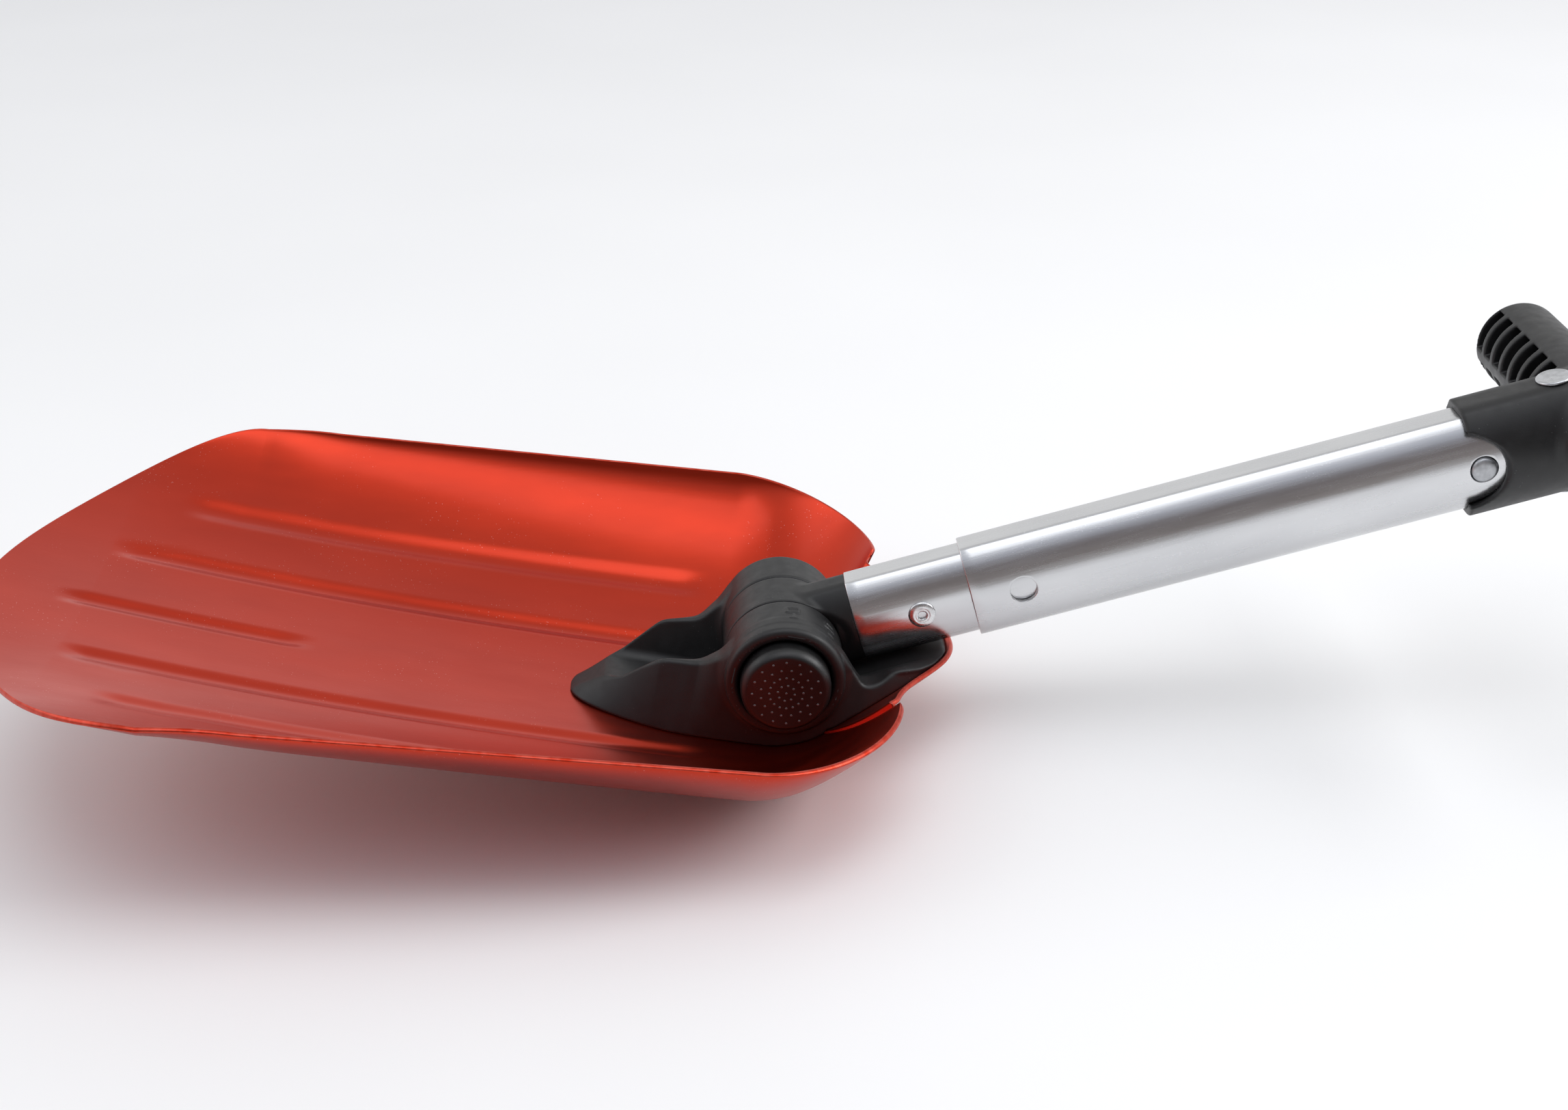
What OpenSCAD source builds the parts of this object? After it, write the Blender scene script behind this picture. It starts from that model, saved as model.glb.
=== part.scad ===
// Folding camp shovel: pressed aluminium blade, push-button locking hinge, telescoping
// tube shaft and T-grip. All parts are drawn with the hinge axis at the origin, X towards
// the grip and the blade's floor level. place() then tips the shovel back onto its rear
// bowl, as it lies on the ground, and moves the origin below the middle of the whole object.

/* [Resting pose] */
// Angle of the blade's floor to the ground, degrees
rest_tilt = 12.5; // [10:0.5:15]
// Height of the hinge axis above the ground
hinge_height = 30.62; // [30:0.01:32]
// Distance of the hinge axis from the middle of the object's length
hinge_shift = -11.3; // [-13:0.1:-10]

/* [Blade] */
// Half width of the blade across its rim
blade_half = 115.5; // [112:0.5:118]
// Distance from the hinge axis forward to the digging tip
tip_reach = 272; // [268:0.5:276]
// Distance from the hinge axis back to the end of the tongue
tongue_reach = 57.8; // [57:0.1:59]
// Thickness of the aluminium sheet
sheet = 1.8; // [1.5:0.1:2]
// Depth of the pressed stiffening grooves
groove_depth = 1.3; // [1:0.05:1.5]
// Depth of the blade's floor below the hinge axis
floor_depth = 31.5; // [31:0.1:32]

/* [Hinge] */
// Radius of the hinge barrel
barrel_r = 20.5; // [20:0.1:21]
// Half width of the middle knuckle
knuckle_half = 9.3; // [9.1:0.1:9.4]
// Outer face of each lug, measured from the middle
lug_face = 26; // [25.8:0.1:26.5]
// Number of spline teeth, one every 15 degrees
teeth = 24; // [24:24:24]
// Travel of the push button
button_travel = 6.5; // [6.4:0.1:6.8]

/* [Shaft] */
// Angle of the shaft above the blade's floor, degrees
shaft_pitch = 27; // [26:0.5:28]
// Distance of the tube's axis above the hinge axis, square to the shaft
tube_offset = 2.3; // [2:0.1:2.6]
// Half height of the outer tube
tube_half_h = 17; // [16.8:0.1:17.2]
// Half width of the outer tube
tube_half_w = 13.5; // [13.4:0.1:13.7]
// Half width of the flat on the top and bottom of the outer tube
tube_flat = 5; // [4.8:0.1:5.2]
// Wall thickness of both tubes
tube_wall = 1.3; // [1.2:0.05:1.3]
// Running gap between the two tubes
tube_gap = 0.3; // [0.25:0.05:0.4]
// Sliding travel of the outer tube between its two lock holes
travel = 159.4; // [158:0.1:160]

/* [Grip] */
// Half length of the crossbar
grip_half = 81; // [80:0.5:84]
// Radius of the crossbar
grip_r = 15.6; // [15.2:0.1:16]
// Distance between neighbouring slots in the crossbar
slot_pitch = 9; // [8.8:0.1:9]

/* [Hidden] */
$fn = 64;

red = [0.78, 0.16, 0.12];
black = [0.13, 0.13, 0.14];
alu = [0.80, 0.81, 0.83];
steel = [0.62, 0.63, 0.65];

// ---- placing ------------------------------------------------------------------------

module place() {
    translate([hinge_shift, 0, hinge_height])
        rotate([0, rest_tilt, 0])
            children();
}

// Shaft frame: X along the tubes, Z square to them, origin on the hinge axis
module along_shaft() {
    rotate([0, -shaft_pitch, 0]) children();
}

// Turns a flat outline into a slab that runs along Y from y0 to y1, outline X kept as X
module across(y0, y1) {
    translate([0, y1, 0])
        rotate([90, 0, 0])
            linear_extrude(height = y1 - y0)
                children();
}

// A round bar along Y
module bar(r, y0, y1) {
    translate([0, y0, 0])
        rotate([-90, 0, 0])
            cylinder(r = r, h = y1 - y0);
}

// ---- blade --------------------------------------------------------------------------

function smooth(t) = let (u = max(0, min(1, t))) u * u * (3 - 2 * u);
function blend(a, b, t) = a + (b - a) * t;

// The wall rises from a spine on the middle line, from spine_front to the hinge axis
spine_front = -238;
side_front = -198;
side_rear = -15;
notch_x = 34;
notch_y = 57.6;
notch_mid = 53.5;
tongue_half = 52;
rim_tip_z = -25;
rim_front_z = -4.2;
rim_rear_z = 12.2;
tongue_z = 11;

// Height of the floor along the spine
function floor_z(x) =
    -floor_depth + (x < -110 ? 6.6 * pow((x + 110) / 160, 2) : 3 * pow((x + 110) / 110, 2));

// Rim outline of one half, from the tip (stretch 0) to the tongue (stretch 3), t from 0 to 1
function front_rim(t) =
    let (power = 2 / 1.69, a = 90 * t)
    let (y = blade_half * pow(sin(a), power))
    [side_front - (tip_reach + side_front) * pow(cos(a), power), y,
     blend(rim_tip_z, rim_front_z, pow(y / blade_half, 3.8))];
function side_rim(t) =
    let (x = blend(side_front, side_rear, t))
    [x, blade_half - 2 * t,
     x < -170 ? -1 - 3.2 * pow((-170 - x) / 28, 1.6) : blend(-1, rim_rear_z, (x + 170) / 155)];
function corner_rim(t) =
    let (power = 2 / 1.72, a = 90 * t)
    let (s = pow(sin(a), power))
    [side_rear + (notch_x - side_rear) * s,
     notch_y + (blade_half - 2 - notch_y) * pow(cos(a), power),
     blend(rim_rear_z, 14.4, s)];
function tongue_rim(t) =
    let (y = notch_y * (1 - t))
    let (rise = pow(0.5 + 0.5 * cos(180 * min(1, y / tongue_half)), 0.85))
    [notch_x + (tongue_reach - notch_x) * rise - 2.4 * exp(-pow((y - notch_mid) / 2.6, 2)), y,
     blend(14.4, tongue_z, smooth((64 - y) / 12))];

front_steps = 20;
side_steps = 15;
corner_steps = 14;
tongue_steps = 22;
half_rim = concat(
    [for (i = [0:front_steps - 1]) front_rim(i / front_steps)],
    [for (i = [0:side_steps - 1]) side_rim(i / side_steps)],
    [for (i = [0:corner_steps - 1]) corner_rim(i / corner_steps)],
    [for (i = [0:tongue_steps]) tongue_rim(i / tongue_steps)]
);
half_count = len(half_rim);
rim_count = 2 * half_count - 2;
// The whole rim: out along one side, back along the other
function rim(i) =
    let (k = (i + rim_count) % rim_count)
    k < half_count ? half_rim[k]
                   : let (p = half_rim[rim_count - k]) [p.x, -p.y, p.z];

// How the wall curves up from the spine to the rim: where it starts, and how upright it ends
function wall_power(p) = blend(2.4, 2.0, smooth((p.x - side_rear) / (notch_x - side_rear)));
function wall_upright(p) =
    p.x < side_rear ? blend(1, 1.4, smooth((p.x + 250) / 100))
                    : blend(1.4, 1, smooth((p.x - side_rear) / (notch_x - side_rear)));
function wall_rise(r, power, upright) = 1 - pow(max(0, 1 - pow(r, power)), 1 / upright);

// Pressed groove: centre distance, half width, front end and rear end
grooves = [[0, 5, -250, -160], [39, 5.5, -240, -20], [73, 6.5, -222, -22]];
end_run = 14;
function groove_at(p, g) =
    let (across_groove = 1 - abs(abs(p.y) - g[0]) / g[1])
    smooth(1.7 * across_groove) * smooth((p.x - g[2]) / end_run) * smooth((g[3] - p.x) / end_run);
function groove_sum(p) = groove_depth * max([for (g = grooves) groove_at(p, g)]);

// A point of the blade's inner face, r = 0 on the spine and 1 on the rim
function inner_point(i, r) =
    let (edge = rim(i))
    let (root = [max(spine_front, min(0, edge.x)), 0])
    let (root_z = floor_z(root.x))
    let (p = [blend(root.x, edge.x, r), edge.y * r,
              root_z + (edge.z - root_z) * wall_rise(r, wall_power(edge), wall_upright(edge))])
    [p.x, p.y, p.z - groove_sum(p)];

rings = [0.022, 0.043, 0.065, 0.14, 0.22, 0.28, 0.305, 0.338, 0.37, 0.40,
         0.48, 0.56, 0.59, 0.632, 0.675, 0.71, 0.79, 0.86, 0.92, 0.965, 0.99, 1];
ring_count = len(rings);
inner_face = [for (r = rings) [for (i = [0:rim_count - 1]) inner_point(i, r)]];
// The pressed sheet keeps its thickness, so the outer face is offset square to the inner one
function face_normal(k, i) =
    let (a = inner_face[k][(i + 1) % rim_count] - inner_face[k][(i + rim_count - 1) % rim_count])
    let (b = inner_face[min(k + 1, ring_count - 1)][i] - inner_face[max(k - 1, 0)][i])
    let (n = cross(a, b))
    n / norm(n) * (n.z > 0 ? 1 : -1);
outer_face = [for (k = [0:ring_count - 1])
    [for (i = [0:rim_count - 1]) inner_face[k][i] - sheet * face_normal(k, i)]];

module blade() {
    layer = ring_count * rim_count;
    function under(k, i) = k * rim_count + (i + rim_count) % rim_count;
    function over(k, i) = layer + under(k, i);
    walls = [for (k = [0:ring_count - 2], i = [0:rim_count - 1])
        let (j = i + 1, m = k + 1)
        each [[under(k, i), under(k, j), under(m, j)], [under(k, i), under(m, j), under(m, i)],
              [over(k, j), over(k, i), over(m, j)], [over(m, j), over(k, i), over(m, i)]]];
    outmost = ring_count - 1;
    edge = [for (i = [0:rim_count - 1])
        each [[under(outmost, i), under(outmost, i + 1), over(outmost, i + 1)],
              [under(outmost, i), over(outmost, i + 1), over(outmost, i)]]];
    // strip that closes the middle, between the first ring's two sides
    middle = [for (i = [1:half_count - 3])
        let (j = i + 1)
        each [[under(0, j), under(0, i), under(0, -i)], [under(0, j), under(0, -i), under(0, -j)],
              [over(0, i), over(0, j), over(0, -i)], [over(0, -i), over(0, j), over(0, -j)]]];
    last = half_count - 1;
    ends = [[under(0, 1), under(0, 0), under(0, -1)], [over(0, 0), over(0, 1), over(0, -1)],
            [under(0, last), under(0, last - 1), under(0, last + 1)],
            [over(0, last - 1), over(0, last), over(0, last + 1)]];
    color(red)
        difference() {
            polyhedron(
                points = concat([for (ring = outer_face) each ring],
                                [for (ring = inner_face) each ring]),
                faces = concat(walls, edge, middle, ends),
                convexity = 8
            );
            at_rivets() translate([0, 0, -1]) cylinder(r = rivet_r, h = sheet + 2);
        }
}

// ---- hinge bracket ------------------------------------------------------------------

lug_gap = 0.4;
axle_r = 5;
running = 0.06;
button_r = 15.4;
button_bore = 16;
bead_face = 31.5;
bead_r = 19;
shoulder_r = 12;
shoulder_y = -19.5;
spline_root = 12.9;
spline_tip = 14.4;
spline_play = 0.15;
gear_near = -15.9;
gear_far = -2.5;
cap_r = 12.9;
cap_depth = 6.6;
tooth_step = 360 / teeth;

// A ring of spline teeth as an outline; grow widens every side
module spline_outline(grow) {
    root = spline_root + grow;
    tip = spline_tip + grow;
    play = grow * 2.2;
    polygon([for (i = [0:teeth - 1], c = [[root, -4.2 + play / 3], [root, -3.1 - play],
                                          [tip, -2.0 - play], [tip, 2.0 + play],
                                          [root, 3.1 + play]])
        c[0] * [cos(i * tooth_step + c[1]), sin(i * tooth_step + c[1])]]);
}

// Lugs, side view of the bracket: nose, front ridge, rear ridge, tail, underside
bracket_side = [
    [-70, -36], [-70, -29.8], [-41.7, -6.6], [-28.7, -4.3], [-17, 6], [18, 10], [27.5, 2.5],
    [32.5, 2.6], [37.4, 7.5], [48.7, 8.8], [56, 11], [56, -36]
];
// Plan view of one half of the bracket
bracket_plan = [
    [-70.5, 0], [-66, 9], [-56, 16], [-40, 22], [-26, 24.6], [0, 25.4], [24, 24.6], [38, 23],
    [48, 18], [54, 10], [57, 0]
];
// Cross-sections of the two channels that the folded and the raised tube lie in
front_channel = [[-9.6, -20.5], [9.6, -20.5], [17.4, 4], [17.4, 20], [-17.4, 20], [-17.4, 4]];
rear_channel = [[-12.7, -13.9], [12.7, -13.9], [22, -9], [24, 0], [24, 30], [-24, 30], [-24, 0],
                [-22, -9]];

module mirrored_plan() {
    polygon(concat(bracket_plan, [for (i = [len(bracket_plan) - 2:-1:1])
        [bracket_plan[i].x, -bracket_plan[i].y]]));
}

// Height of the blade's inner face at a point under the bracket
side_part = [for (p = half_rim) if (p.x > -110 && p.x < 8 && p.y > 60) p];
rear_part = [for (p = half_rim) if (p.x > 0) p];
side_width = [for (p = side_part) [p.x, p.y]];
side_height = [for (p = side_part) [p.x, p.z]];
rear_reach = [for (p = rear_part) [atan2(p.y, p.x), norm([p.x, p.y])]];
rear_height = [for (p = rear_part) [atan2(p.y, p.x), p.z]];
rear_power = [for (p = rear_part) [atan2(p.y, p.x), wall_power(p)]];
rear_upright = [for (p = rear_part) [atan2(p.y, p.x), wall_upright(p)]];
function blade_z(x, y) =
    let (low = floor_z(min(x, 0)), a = atan2(abs(y), x))
    x <= 0 ? low + (lookup(x, side_height) - low) * wall_rise(abs(y) / lookup(x, side_width), 2.4, 1.4)
           : low + (lookup(a, rear_height) - low)
                   * wall_rise(norm([x, y]) / lookup(a, rear_reach), lookup(a, rear_power),
                               lookup(a, rear_upright));

// Everything below the blade's inner face, as far as the bracket covers it
seat_gap = 0.3;
seat_x = [for (x = [-74:6.5:56]) x, 60];
seat_y = [for (y = [-30:5:30]) y];
module seat() {
    rows = len(seat_y);
    cols = len(seat_x);
    function at(i, j) = i * rows + j;
    base = cols * rows;
    top = [for (x = seat_x, y = seat_y) [x, y, blade_z(x, y) + seat_gap]];
    corners = [for (x = [seat_x[0], seat_x[cols - 1]], y = [seat_y[0], seat_y[rows - 1]])
        [x, y, -60]];
    cells = [for (i = [0:cols - 2], j = [0:rows - 2])
        each [[at(i, j), at(i, j + 1), at(i + 1, j + 1)], [at(i, j), at(i + 1, j + 1), at(i + 1, j)]]];
    polyhedron(
        points = concat(top, corners),
        faces = concat(cells, [
            [base, each [for (i = [0:cols - 1]) at(i, 0)], base + 2],
            [base + 3, each [for (i = [cols - 1:-1:0]) at(i, rows - 1)], base + 1],
            [base + 1, each [for (j = [rows - 1:-1:0]) at(0, j)], base],
            [base + 2, each [for (j = [0:rows - 1]) at(cols - 1, j)], base + 3],
            [base, base + 2, base + 3, base + 1]
        ]),
        convexity = 4
    );
}

module bracket_body() {
    difference() {
        intersection() {
            across(-lug_face, lug_face) polygon(bracket_side);
            translate([0, 0, -40]) linear_extrude(height = 80) mirrored_plan();
        }
        seat();
        translate([-84, 0, 0])
            rotate([90, 0, 90])
                linear_extrude(height = 70)
                    polygon(front_channel);
        along_shaft()
            translate([14, 0, 0])
                rotate([90, 0, 90])
                    linear_extrude(height = 80)
                        polygon(rear_channel);
    }
}

module near_lug() {
    bar(barrel_r, -lug_face, -knuckle_half - lug_gap);
    // rounded bead around the push button
    translate([0, -lug_face, 0])
        rotate([90, 0, 0])
            rotate_extrude()
                polygon([[0, 0], [19.9, 0], [19.9, 2.6], [19.3, 4.2], [18.4, 5.2], [17.4, 5.5],
                         [16.4, 5.2], [0, 5.2]]);
}

module far_lug() {
    bar(barrel_r, knuckle_half + lug_gap, lug_face);
    translate([0, lug_face, 0])
        rotate([-90, 0, 0])
            cylinder(r1 = barrel_r, r2 = barrel_r - 0.9, h = 0.9);
}

// Rivets that hold the bracket to the blade
rivet_places = [[-52, 0], [-16, 15], [-16, -15], [38.5, 9], [38.5, -9]];
rivet_r = 2.4;
rivet_head_r = 4.6;
rivet_length = 9;
washer_r = 5.8;
washer_h = 0.8;

// Square to the blade's sheet at each rivet, with the origin on the outer face
module at_rivets() {
    for (p = rivet_places) {
        slope = [blade_z(p.x + 1, p.y) - blade_z(p.x - 1, p.y),
                 blade_z(p.x, p.y + 1) - blade_z(p.x, p.y - 1)] / 2;
        translate([p.x, p.y, blade_z(p.x, p.y)])
            rotate([0, atan(norm(slope)), atan2(-slope.y, -slope.x)])
                translate([0, 0, -sheet - 0.05])
                    children();
    }
}

module hinge_bracket() {
    color(black)
        difference() {
            union() {
                bracket_body();
                near_lug();
                far_lug();
            }
            // gap for the knuckle
            bar(barrel_r + 0.7, -knuckle_half - lug_gap, knuckle_half + lug_gap);
            // near side: button bore, shoulder and spline
            bar(button_bore, -40, shoulder_y);
            bar(shoulder_r, -40, -8);
            across(gear_near - 0.1, -8) spline_outline(spline_play);
            // far side: axle bore and the pocket under the cap
            bar(axle_r, 0, 40);
            bar(cap_r, lug_face + 0.9 - cap_depth, 40);
            at_rivets() cylinder(r = rivet_r, h = rivet_length + 0.3);
        }
}

module bracket_rivets() {
    color(alu)
        at_rivets() {
            cylinder(r = rivet_r, h = rivet_length);
            translate([0, 0, -washer_h - 1.4])
                cylinder(r1 = rivet_head_r - 1.2, r2 = rivet_head_r, h = 1.4);
            translate([0, 0, -washer_h]) cylinder(r = rivet_r, h = washer_h);
        }
}

module rivet_washers() {
    color(steel)
        at_rivets()
            translate([0, 0, -washer_h])
                difference() {
                    cylinder(r = washer_r, h = washer_h);
                    translate([0, 0, -1]) cylinder(r = rivet_r, h = washer_h + 2);
                }
}

// ---- lock ---------------------------------------------------------------------------

axle_near = -22;
nut_seat = lug_face + 0.9 - cap_depth;
nut_h = 3.4;
nut_flats = 13;
shelf_y = -13;
spring_pocket_r = 9;
web_y = 6.5;

module hinge_axle() {
    color(steel) {
        bar(axle_r, axle_near, nut_seat);
        bar(axle_r - 1, nut_seat, nut_seat + 4.6);
    }
}

module axle_washer() {
    color(steel)
        difference() {
            bar(9, nut_seat, nut_seat + 1);
            bar(axle_r - 1, nut_seat - 1, nut_seat + 2);
        }
}

module axle_nut() {
    color(steel)
        difference() {
            across(nut_seat + 1, nut_seat + 1 + nut_h)
                circle(d = nut_flats / cos(30), $fn = 6);
            bar(axle_r - 1, nut_seat, nut_seat + 6);
        }
}

module far_cap() {
    color(black)
        difference() {
            bar(cap_r - 0.1, nut_seat + 2, lug_face + 0.9);
            bar(cap_r - 2.3, nut_seat, lug_face - 0.9);
        }
}

button_face = -38.1;
skirt_end = -27;
boss_r = 10;
screw_ring = 7.3;

module push_button() {
    color(black)
        difference() {
            union() {
                translate([0, button_face, 0])
                    rotate([-90, 0, 0])
                        rotate_extrude()
                            polygon([[0, 0], [12.6, 0.15], [14, 0.6], [14.9, 1.4], [button_r, 2.6],
                                     [button_r, skirt_end - button_face],
                                     [13.2, skirt_end - button_face], [13.2, 4], [0, 3.2]]);
                bar(boss_r, button_face + 1, gear_near);
            }
            bar(axle_r + 0.3, -34, 0);
            for (a = [90, 210, 330])
                rotate([0, a, 0])
                    translate([screw_ring, 0, 0])
                        bar(1.25, -24, 0);
        }
}

module lock_gear() {
    color(steel)
        difference() {
            across(gear_near, gear_far) spline_outline(0);
            bar(axle_r + running, -20, 0);
            bar(spring_pocket_r, shelf_y, 0);
            for (a = [90, 210, 330])
                rotate([0, a, 0])
                    translate([screw_ring, 0, 0]) {
                        bar(1.25, -20, 0);
                        bar(2, shelf_y - 1.3, 0);
                    }
        }
}

module gear_screws() {
    color(steel)
        for (a = [90, 210, 330])
            rotate([0, a, 0])
                translate([screw_ring, 0, 0]) {
                    bar(1.25, -23.5, shelf_y - 1.3);
                    bar(2, shelf_y - 1.3, shelf_y - 0.1);
                }
}

spring_r = 7.4;
wire_r = 0.7;
coils = 6;
wire_sides = 8;
spring_steps = 72;

module lock_spring() {
    low = shelf_y + wire_r + 0.05;
    high = web_y - wire_r - 0.15;
    points = [for (i = [0:spring_steps], j = [0:wire_sides - 1])
        let (a = 360 * coils * i / spring_steps, b = 360 * j / wire_sides)
        let (r = spring_r + wire_r * cos(b))
        [r * cos(a), blend(low, high, i / spring_steps) + wire_r * sin(b), r * sin(a)]];
    sides = [for (i = [0:spring_steps - 1], j = [0:wire_sides - 1])
        let (k = (j + 1) % wire_sides, a = i * wire_sides, b = (i + 1) * wire_sides)
        each [[a + j, b + j, b + k], [a + j, b + k, a + k]]];
    first = [for (j = [0:wire_sides - 1]) j];
    final = [for (j = [wire_sides - 1:-1:0]) spring_steps * wire_sides + j];
    color(steel)
        polyhedron(points = points, faces = concat(sides, [first, final]), convexity = 10);
}

// ---- shaft --------------------------------------------------------------------------

// Tube section: flat top and bottom, bulging sides; slim shrinks every side by that much
module tube_section(slim) {
    half_h = tube_half_h - slim;
    half_w = tube_half_w - slim;
    flat = tube_flat - slim / 3;
    bulge_r = (pow(half_h, 2) + pow(half_w - flat, 2)) / (2 * (half_w - flat));
    intersection() {
        square([2 * half_w, 2 * half_h], center = true);
        translate([half_w - bulge_r, 0]) circle(r = bulge_r, $fn = 96);
        translate([bulge_r - half_w, 0]) circle(r = bulge_r, $fn = 96);
    }
}

// Extrudes a section along the shaft; section X becomes Y and section Y becomes height
module run(t0, t1) {
    translate([t0, 0, tube_offset])
        rotate([90, 0, 90])
            linear_extrude(height = t1 - t0)
                children();
}

inner_slim = tube_wall + tube_gap;
bore_slim = 2 * tube_wall + tube_gap;
inner_start = 27;
inner_end = 262;
outer_start = 68;
outer_end = 280;
near_hole = 86;
far_hole = near_hole + travel;
lock_hole_r = 4.75;
snap_r = 4.5;
stub_end = 64;
blind_t = 50.2;
blind_r = 2.4;

// A round bar square to the shaft along Y at distance t
module cross_bar(r, t, y0, y1) {
    translate([t, 0, tube_offset]) bar(r, y0, y1);
}

// Material between the barrel and the tube: flares from the knuckle to the tube's size
module stub_flare() {
    difference() {
        hull() {
            run(12, 12.5) square([2 * knuckle_half - 1, 2 * tube_half_h - 7], center = true);
            run(inner_start - 0.4, inner_start) tube_section(inner_slim + 0.6, $fn = 32);
        }
        for (side = [-1, 1])
            translate([0, side * 20, 0])
                bar(barrel_r + 0.5, -20 + knuckle_half, 20 - knuckle_half);
        bar(barrel_r - 1.5, -knuckle_half, knuckle_half);
    }
}

module hinge_knuckle() {
    color(black)
        along_shaft()
            difference() {
                union() {
                    bar(barrel_r, -knuckle_half, knuckle_half);
                    stub_flare();
                    difference() {
                        run(inner_start - 0.2, stub_end) tube_section(bore_slim + 0.1);
                        run(inner_start + 6, stub_end + 1) tube_section(bore_slim + 3);
                    }
                }
                rotate([0, shaft_pitch, 0])
                    across(-20, web_y) spline_outline(spline_play);
                bar(axle_r + running, -20, 20);
                cross_bar(blind_r, blind_t, -20, 20);
            }
}

module inner_tube() {
    color(alu)
        along_shaft()
            difference() {
                run(inner_start, inner_end)
                    difference() {
                        tube_section(inner_slim);
                        tube_section(bore_slim);
                    }
                cross_bar(blind_r, blind_t, -20, 20);
                cross_bar(snap_r + 0.08, far_hole, -20, 0);
            }
}

module stub_rivets() {
    face = tube_half_w - inner_slim;
    color(alu)
        along_shaft()
            for (side = [0, 1])
                mirror([0, side, 0])
                    difference() {
                        union() {
                            cross_bar(blind_r, blind_t, -face, -6.4);
                            cross_bar(blind_r + 0.9, blind_t, -7.2, -5.6);
                            translate([blind_t, -face, tube_offset])
                                rotate([90, 0, 0])
                                    cylinder(r1 = 4.75, r2 = 3.9, h = 0.9);
                        }
                        cross_bar(1.45, blind_t, -20, -7);
                    }
}

module tube_glide() {
    color(black)
        along_shaft()
            difference() {
                union() {
                    run(inner_end - 7, inner_end) tube_section(bore_slim);
                    run(inner_end, inner_end + 2) tube_section(tube_wall + 0.12);
                }
                run(inner_end - 8, inner_end + 3) tube_section(bore_slim + 2.2);
            }
}

snap_face = -14.3;
module snap_button() {
    color(steel)
        along_shaft() {
            cross_bar(snap_r, far_hole, snap_face + 0.7, -8.4);
            translate([far_hole, snap_face + 0.7, tube_offset])
                rotate([90, 0, 0])
                    cylinder(r1 = snap_r, r2 = snap_r - 0.8, h = 0.7);
            cross_bar(snap_r + 1.2, far_hole, -9.6, -8.4);
        }
}

// Bent strip that pushes the snap button out and braces against the far wall
leaf = [[far_hole + 5, -8.3], [far_hole - 4, -8.3], [far_hole - 34, 9.2], [far_hole - 22, 9.2],
        [far_hole - 22, 8.5], [far_hole - 31.6, 8.5], [far_hole - 3.6, -7.6], [far_hole + 5, -7.6]];
module snap_spring() {
    leaf_half = 4;
    color(steel)
        along_shaft()
            translate([0, 0, tube_offset - leaf_half])
                linear_extrude(height = 2 * leaf_half)
                    polygon(leaf);
}

grip_rivet_t = 276;
pin_r = 2.5;

module outer_tube() {
    color(alu)
        along_shaft()
            difference() {
                run(outer_start, outer_end)
                    difference() {
                        tube_section(0);
                        tube_section(tube_wall);
                    }
                cross_bar(lock_hole_r, near_hole, -20, 0);
                cross_bar(lock_hole_r, far_hole, -20, 0);
                translate([grip_rivet_t, 0, -30]) cylinder(r = pin_r, h = 60);
            }
}

// ---- grip ---------------------------------------------------------------------------

collar_start = 239.5;
collar_wall = 3;
grip_t = 288.4;
notch_reach = 252.7;
notch_r = 14;
slot_width = 6;
slot_first = 22;
slots_per_side = 7;
end_round = 3;
// Side view of the collar's upper half, measured from the tube's axis
collar_side = [[collar_start, 0], [collar_start, 20.5], [282.5, 20.5], [288, 18.4],
               [293, 15.4], [296.2, 13.5], [296.2, 0]];
// One slot seen from the crossbar's end, measured from the crossbar's axis
slot_side = [[-18, 2.4], [3, 2.4], [3, 10.5], [-5.3, 14.66], [-18, 14.66]];

module crossbar() {
    translate([grip_t, 0, tube_offset])
        rotate([90, 0, 0])
            rotate_extrude()
                polygon(concat([[0, -grip_half], [grip_r - end_round, -grip_half]],
                    [for (a = [-67.5:22.5:67.5])
                        [grip_r - end_round * (1 - cos(a)), 0]
                        + (a < 0 ? -1 : 1) * [0, grip_half - end_round * (1 - abs(sin(a)))]],
                    [[grip_r - end_round, grip_half], [0, grip_half]]));
}

module crossbar_slots() {
    translate([grip_t, 0, tube_offset])
        for (side = [-1, 1], row = [0, 1], i = [0:slots_per_side - 1])
            let (y = side * (slot_first + i * slot_pitch))
                mirror([0, 0, row])
                    across(y - slot_width / 2, y + slot_width / 2) polygon(slot_side);
}

module tee_grip() {
    color(black)
        along_shaft()
            difference() {
                union() {
                    intersection() {
                        run(collar_start, 297) tube_section(-collar_wall);
                        for (half = [0, 1])
                            translate([0, 0, tube_offset])
                                mirror([0, 0, half])
                                    across(-20, 20) polygon(collar_side);
                    }
                    crossbar();
                }
                // socket for the outer tube
                run(collar_start - 1, outer_end) tube_section(0);
                // side notches, straight-sided towards the tube
                translate([notch_reach - notch_r, 0, tube_offset]) bar(notch_r, -40, 40);
                translate([collar_start - 1, -40, tube_offset - notch_r])
                    cube([notch_reach - notch_r - collar_start + 1, 80, 2 * notch_r]);
                crossbar_slots();
                translate([grip_rivet_t, 0, -30]) cylinder(r = pin_r, h = 60);
            }
}

module grip_rivet() {
    top = tube_offset + tube_half_h + collar_wall;
    bottom = tube_offset - tube_half_h - collar_wall;
    color(steel)
        along_shaft()
            translate([grip_rivet_t, 0, 0]) {
                translate([0, 0, bottom - 0.5]) cylinder(r = pin_r, h = top - bottom + 0.5);
                translate([0, 0, top]) cylinder(r1 = 6, r2 = 5.2, h = 0.9);
            }
}

// Washer that the rivet's tail is spread over, under the collar
module rivet_caps() {
    bottom = tube_offset - tube_half_h - collar_wall;
    color(steel)
        along_shaft()
            translate([grip_rivet_t, 0, bottom - 1.2])
                difference() {
                    cylinder(r1 = 5, r2 = 6, h = 1.2);
                    translate([0, 0, 0.7]) cylinder(r = pin_r, h = 1);
                }
}

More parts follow.
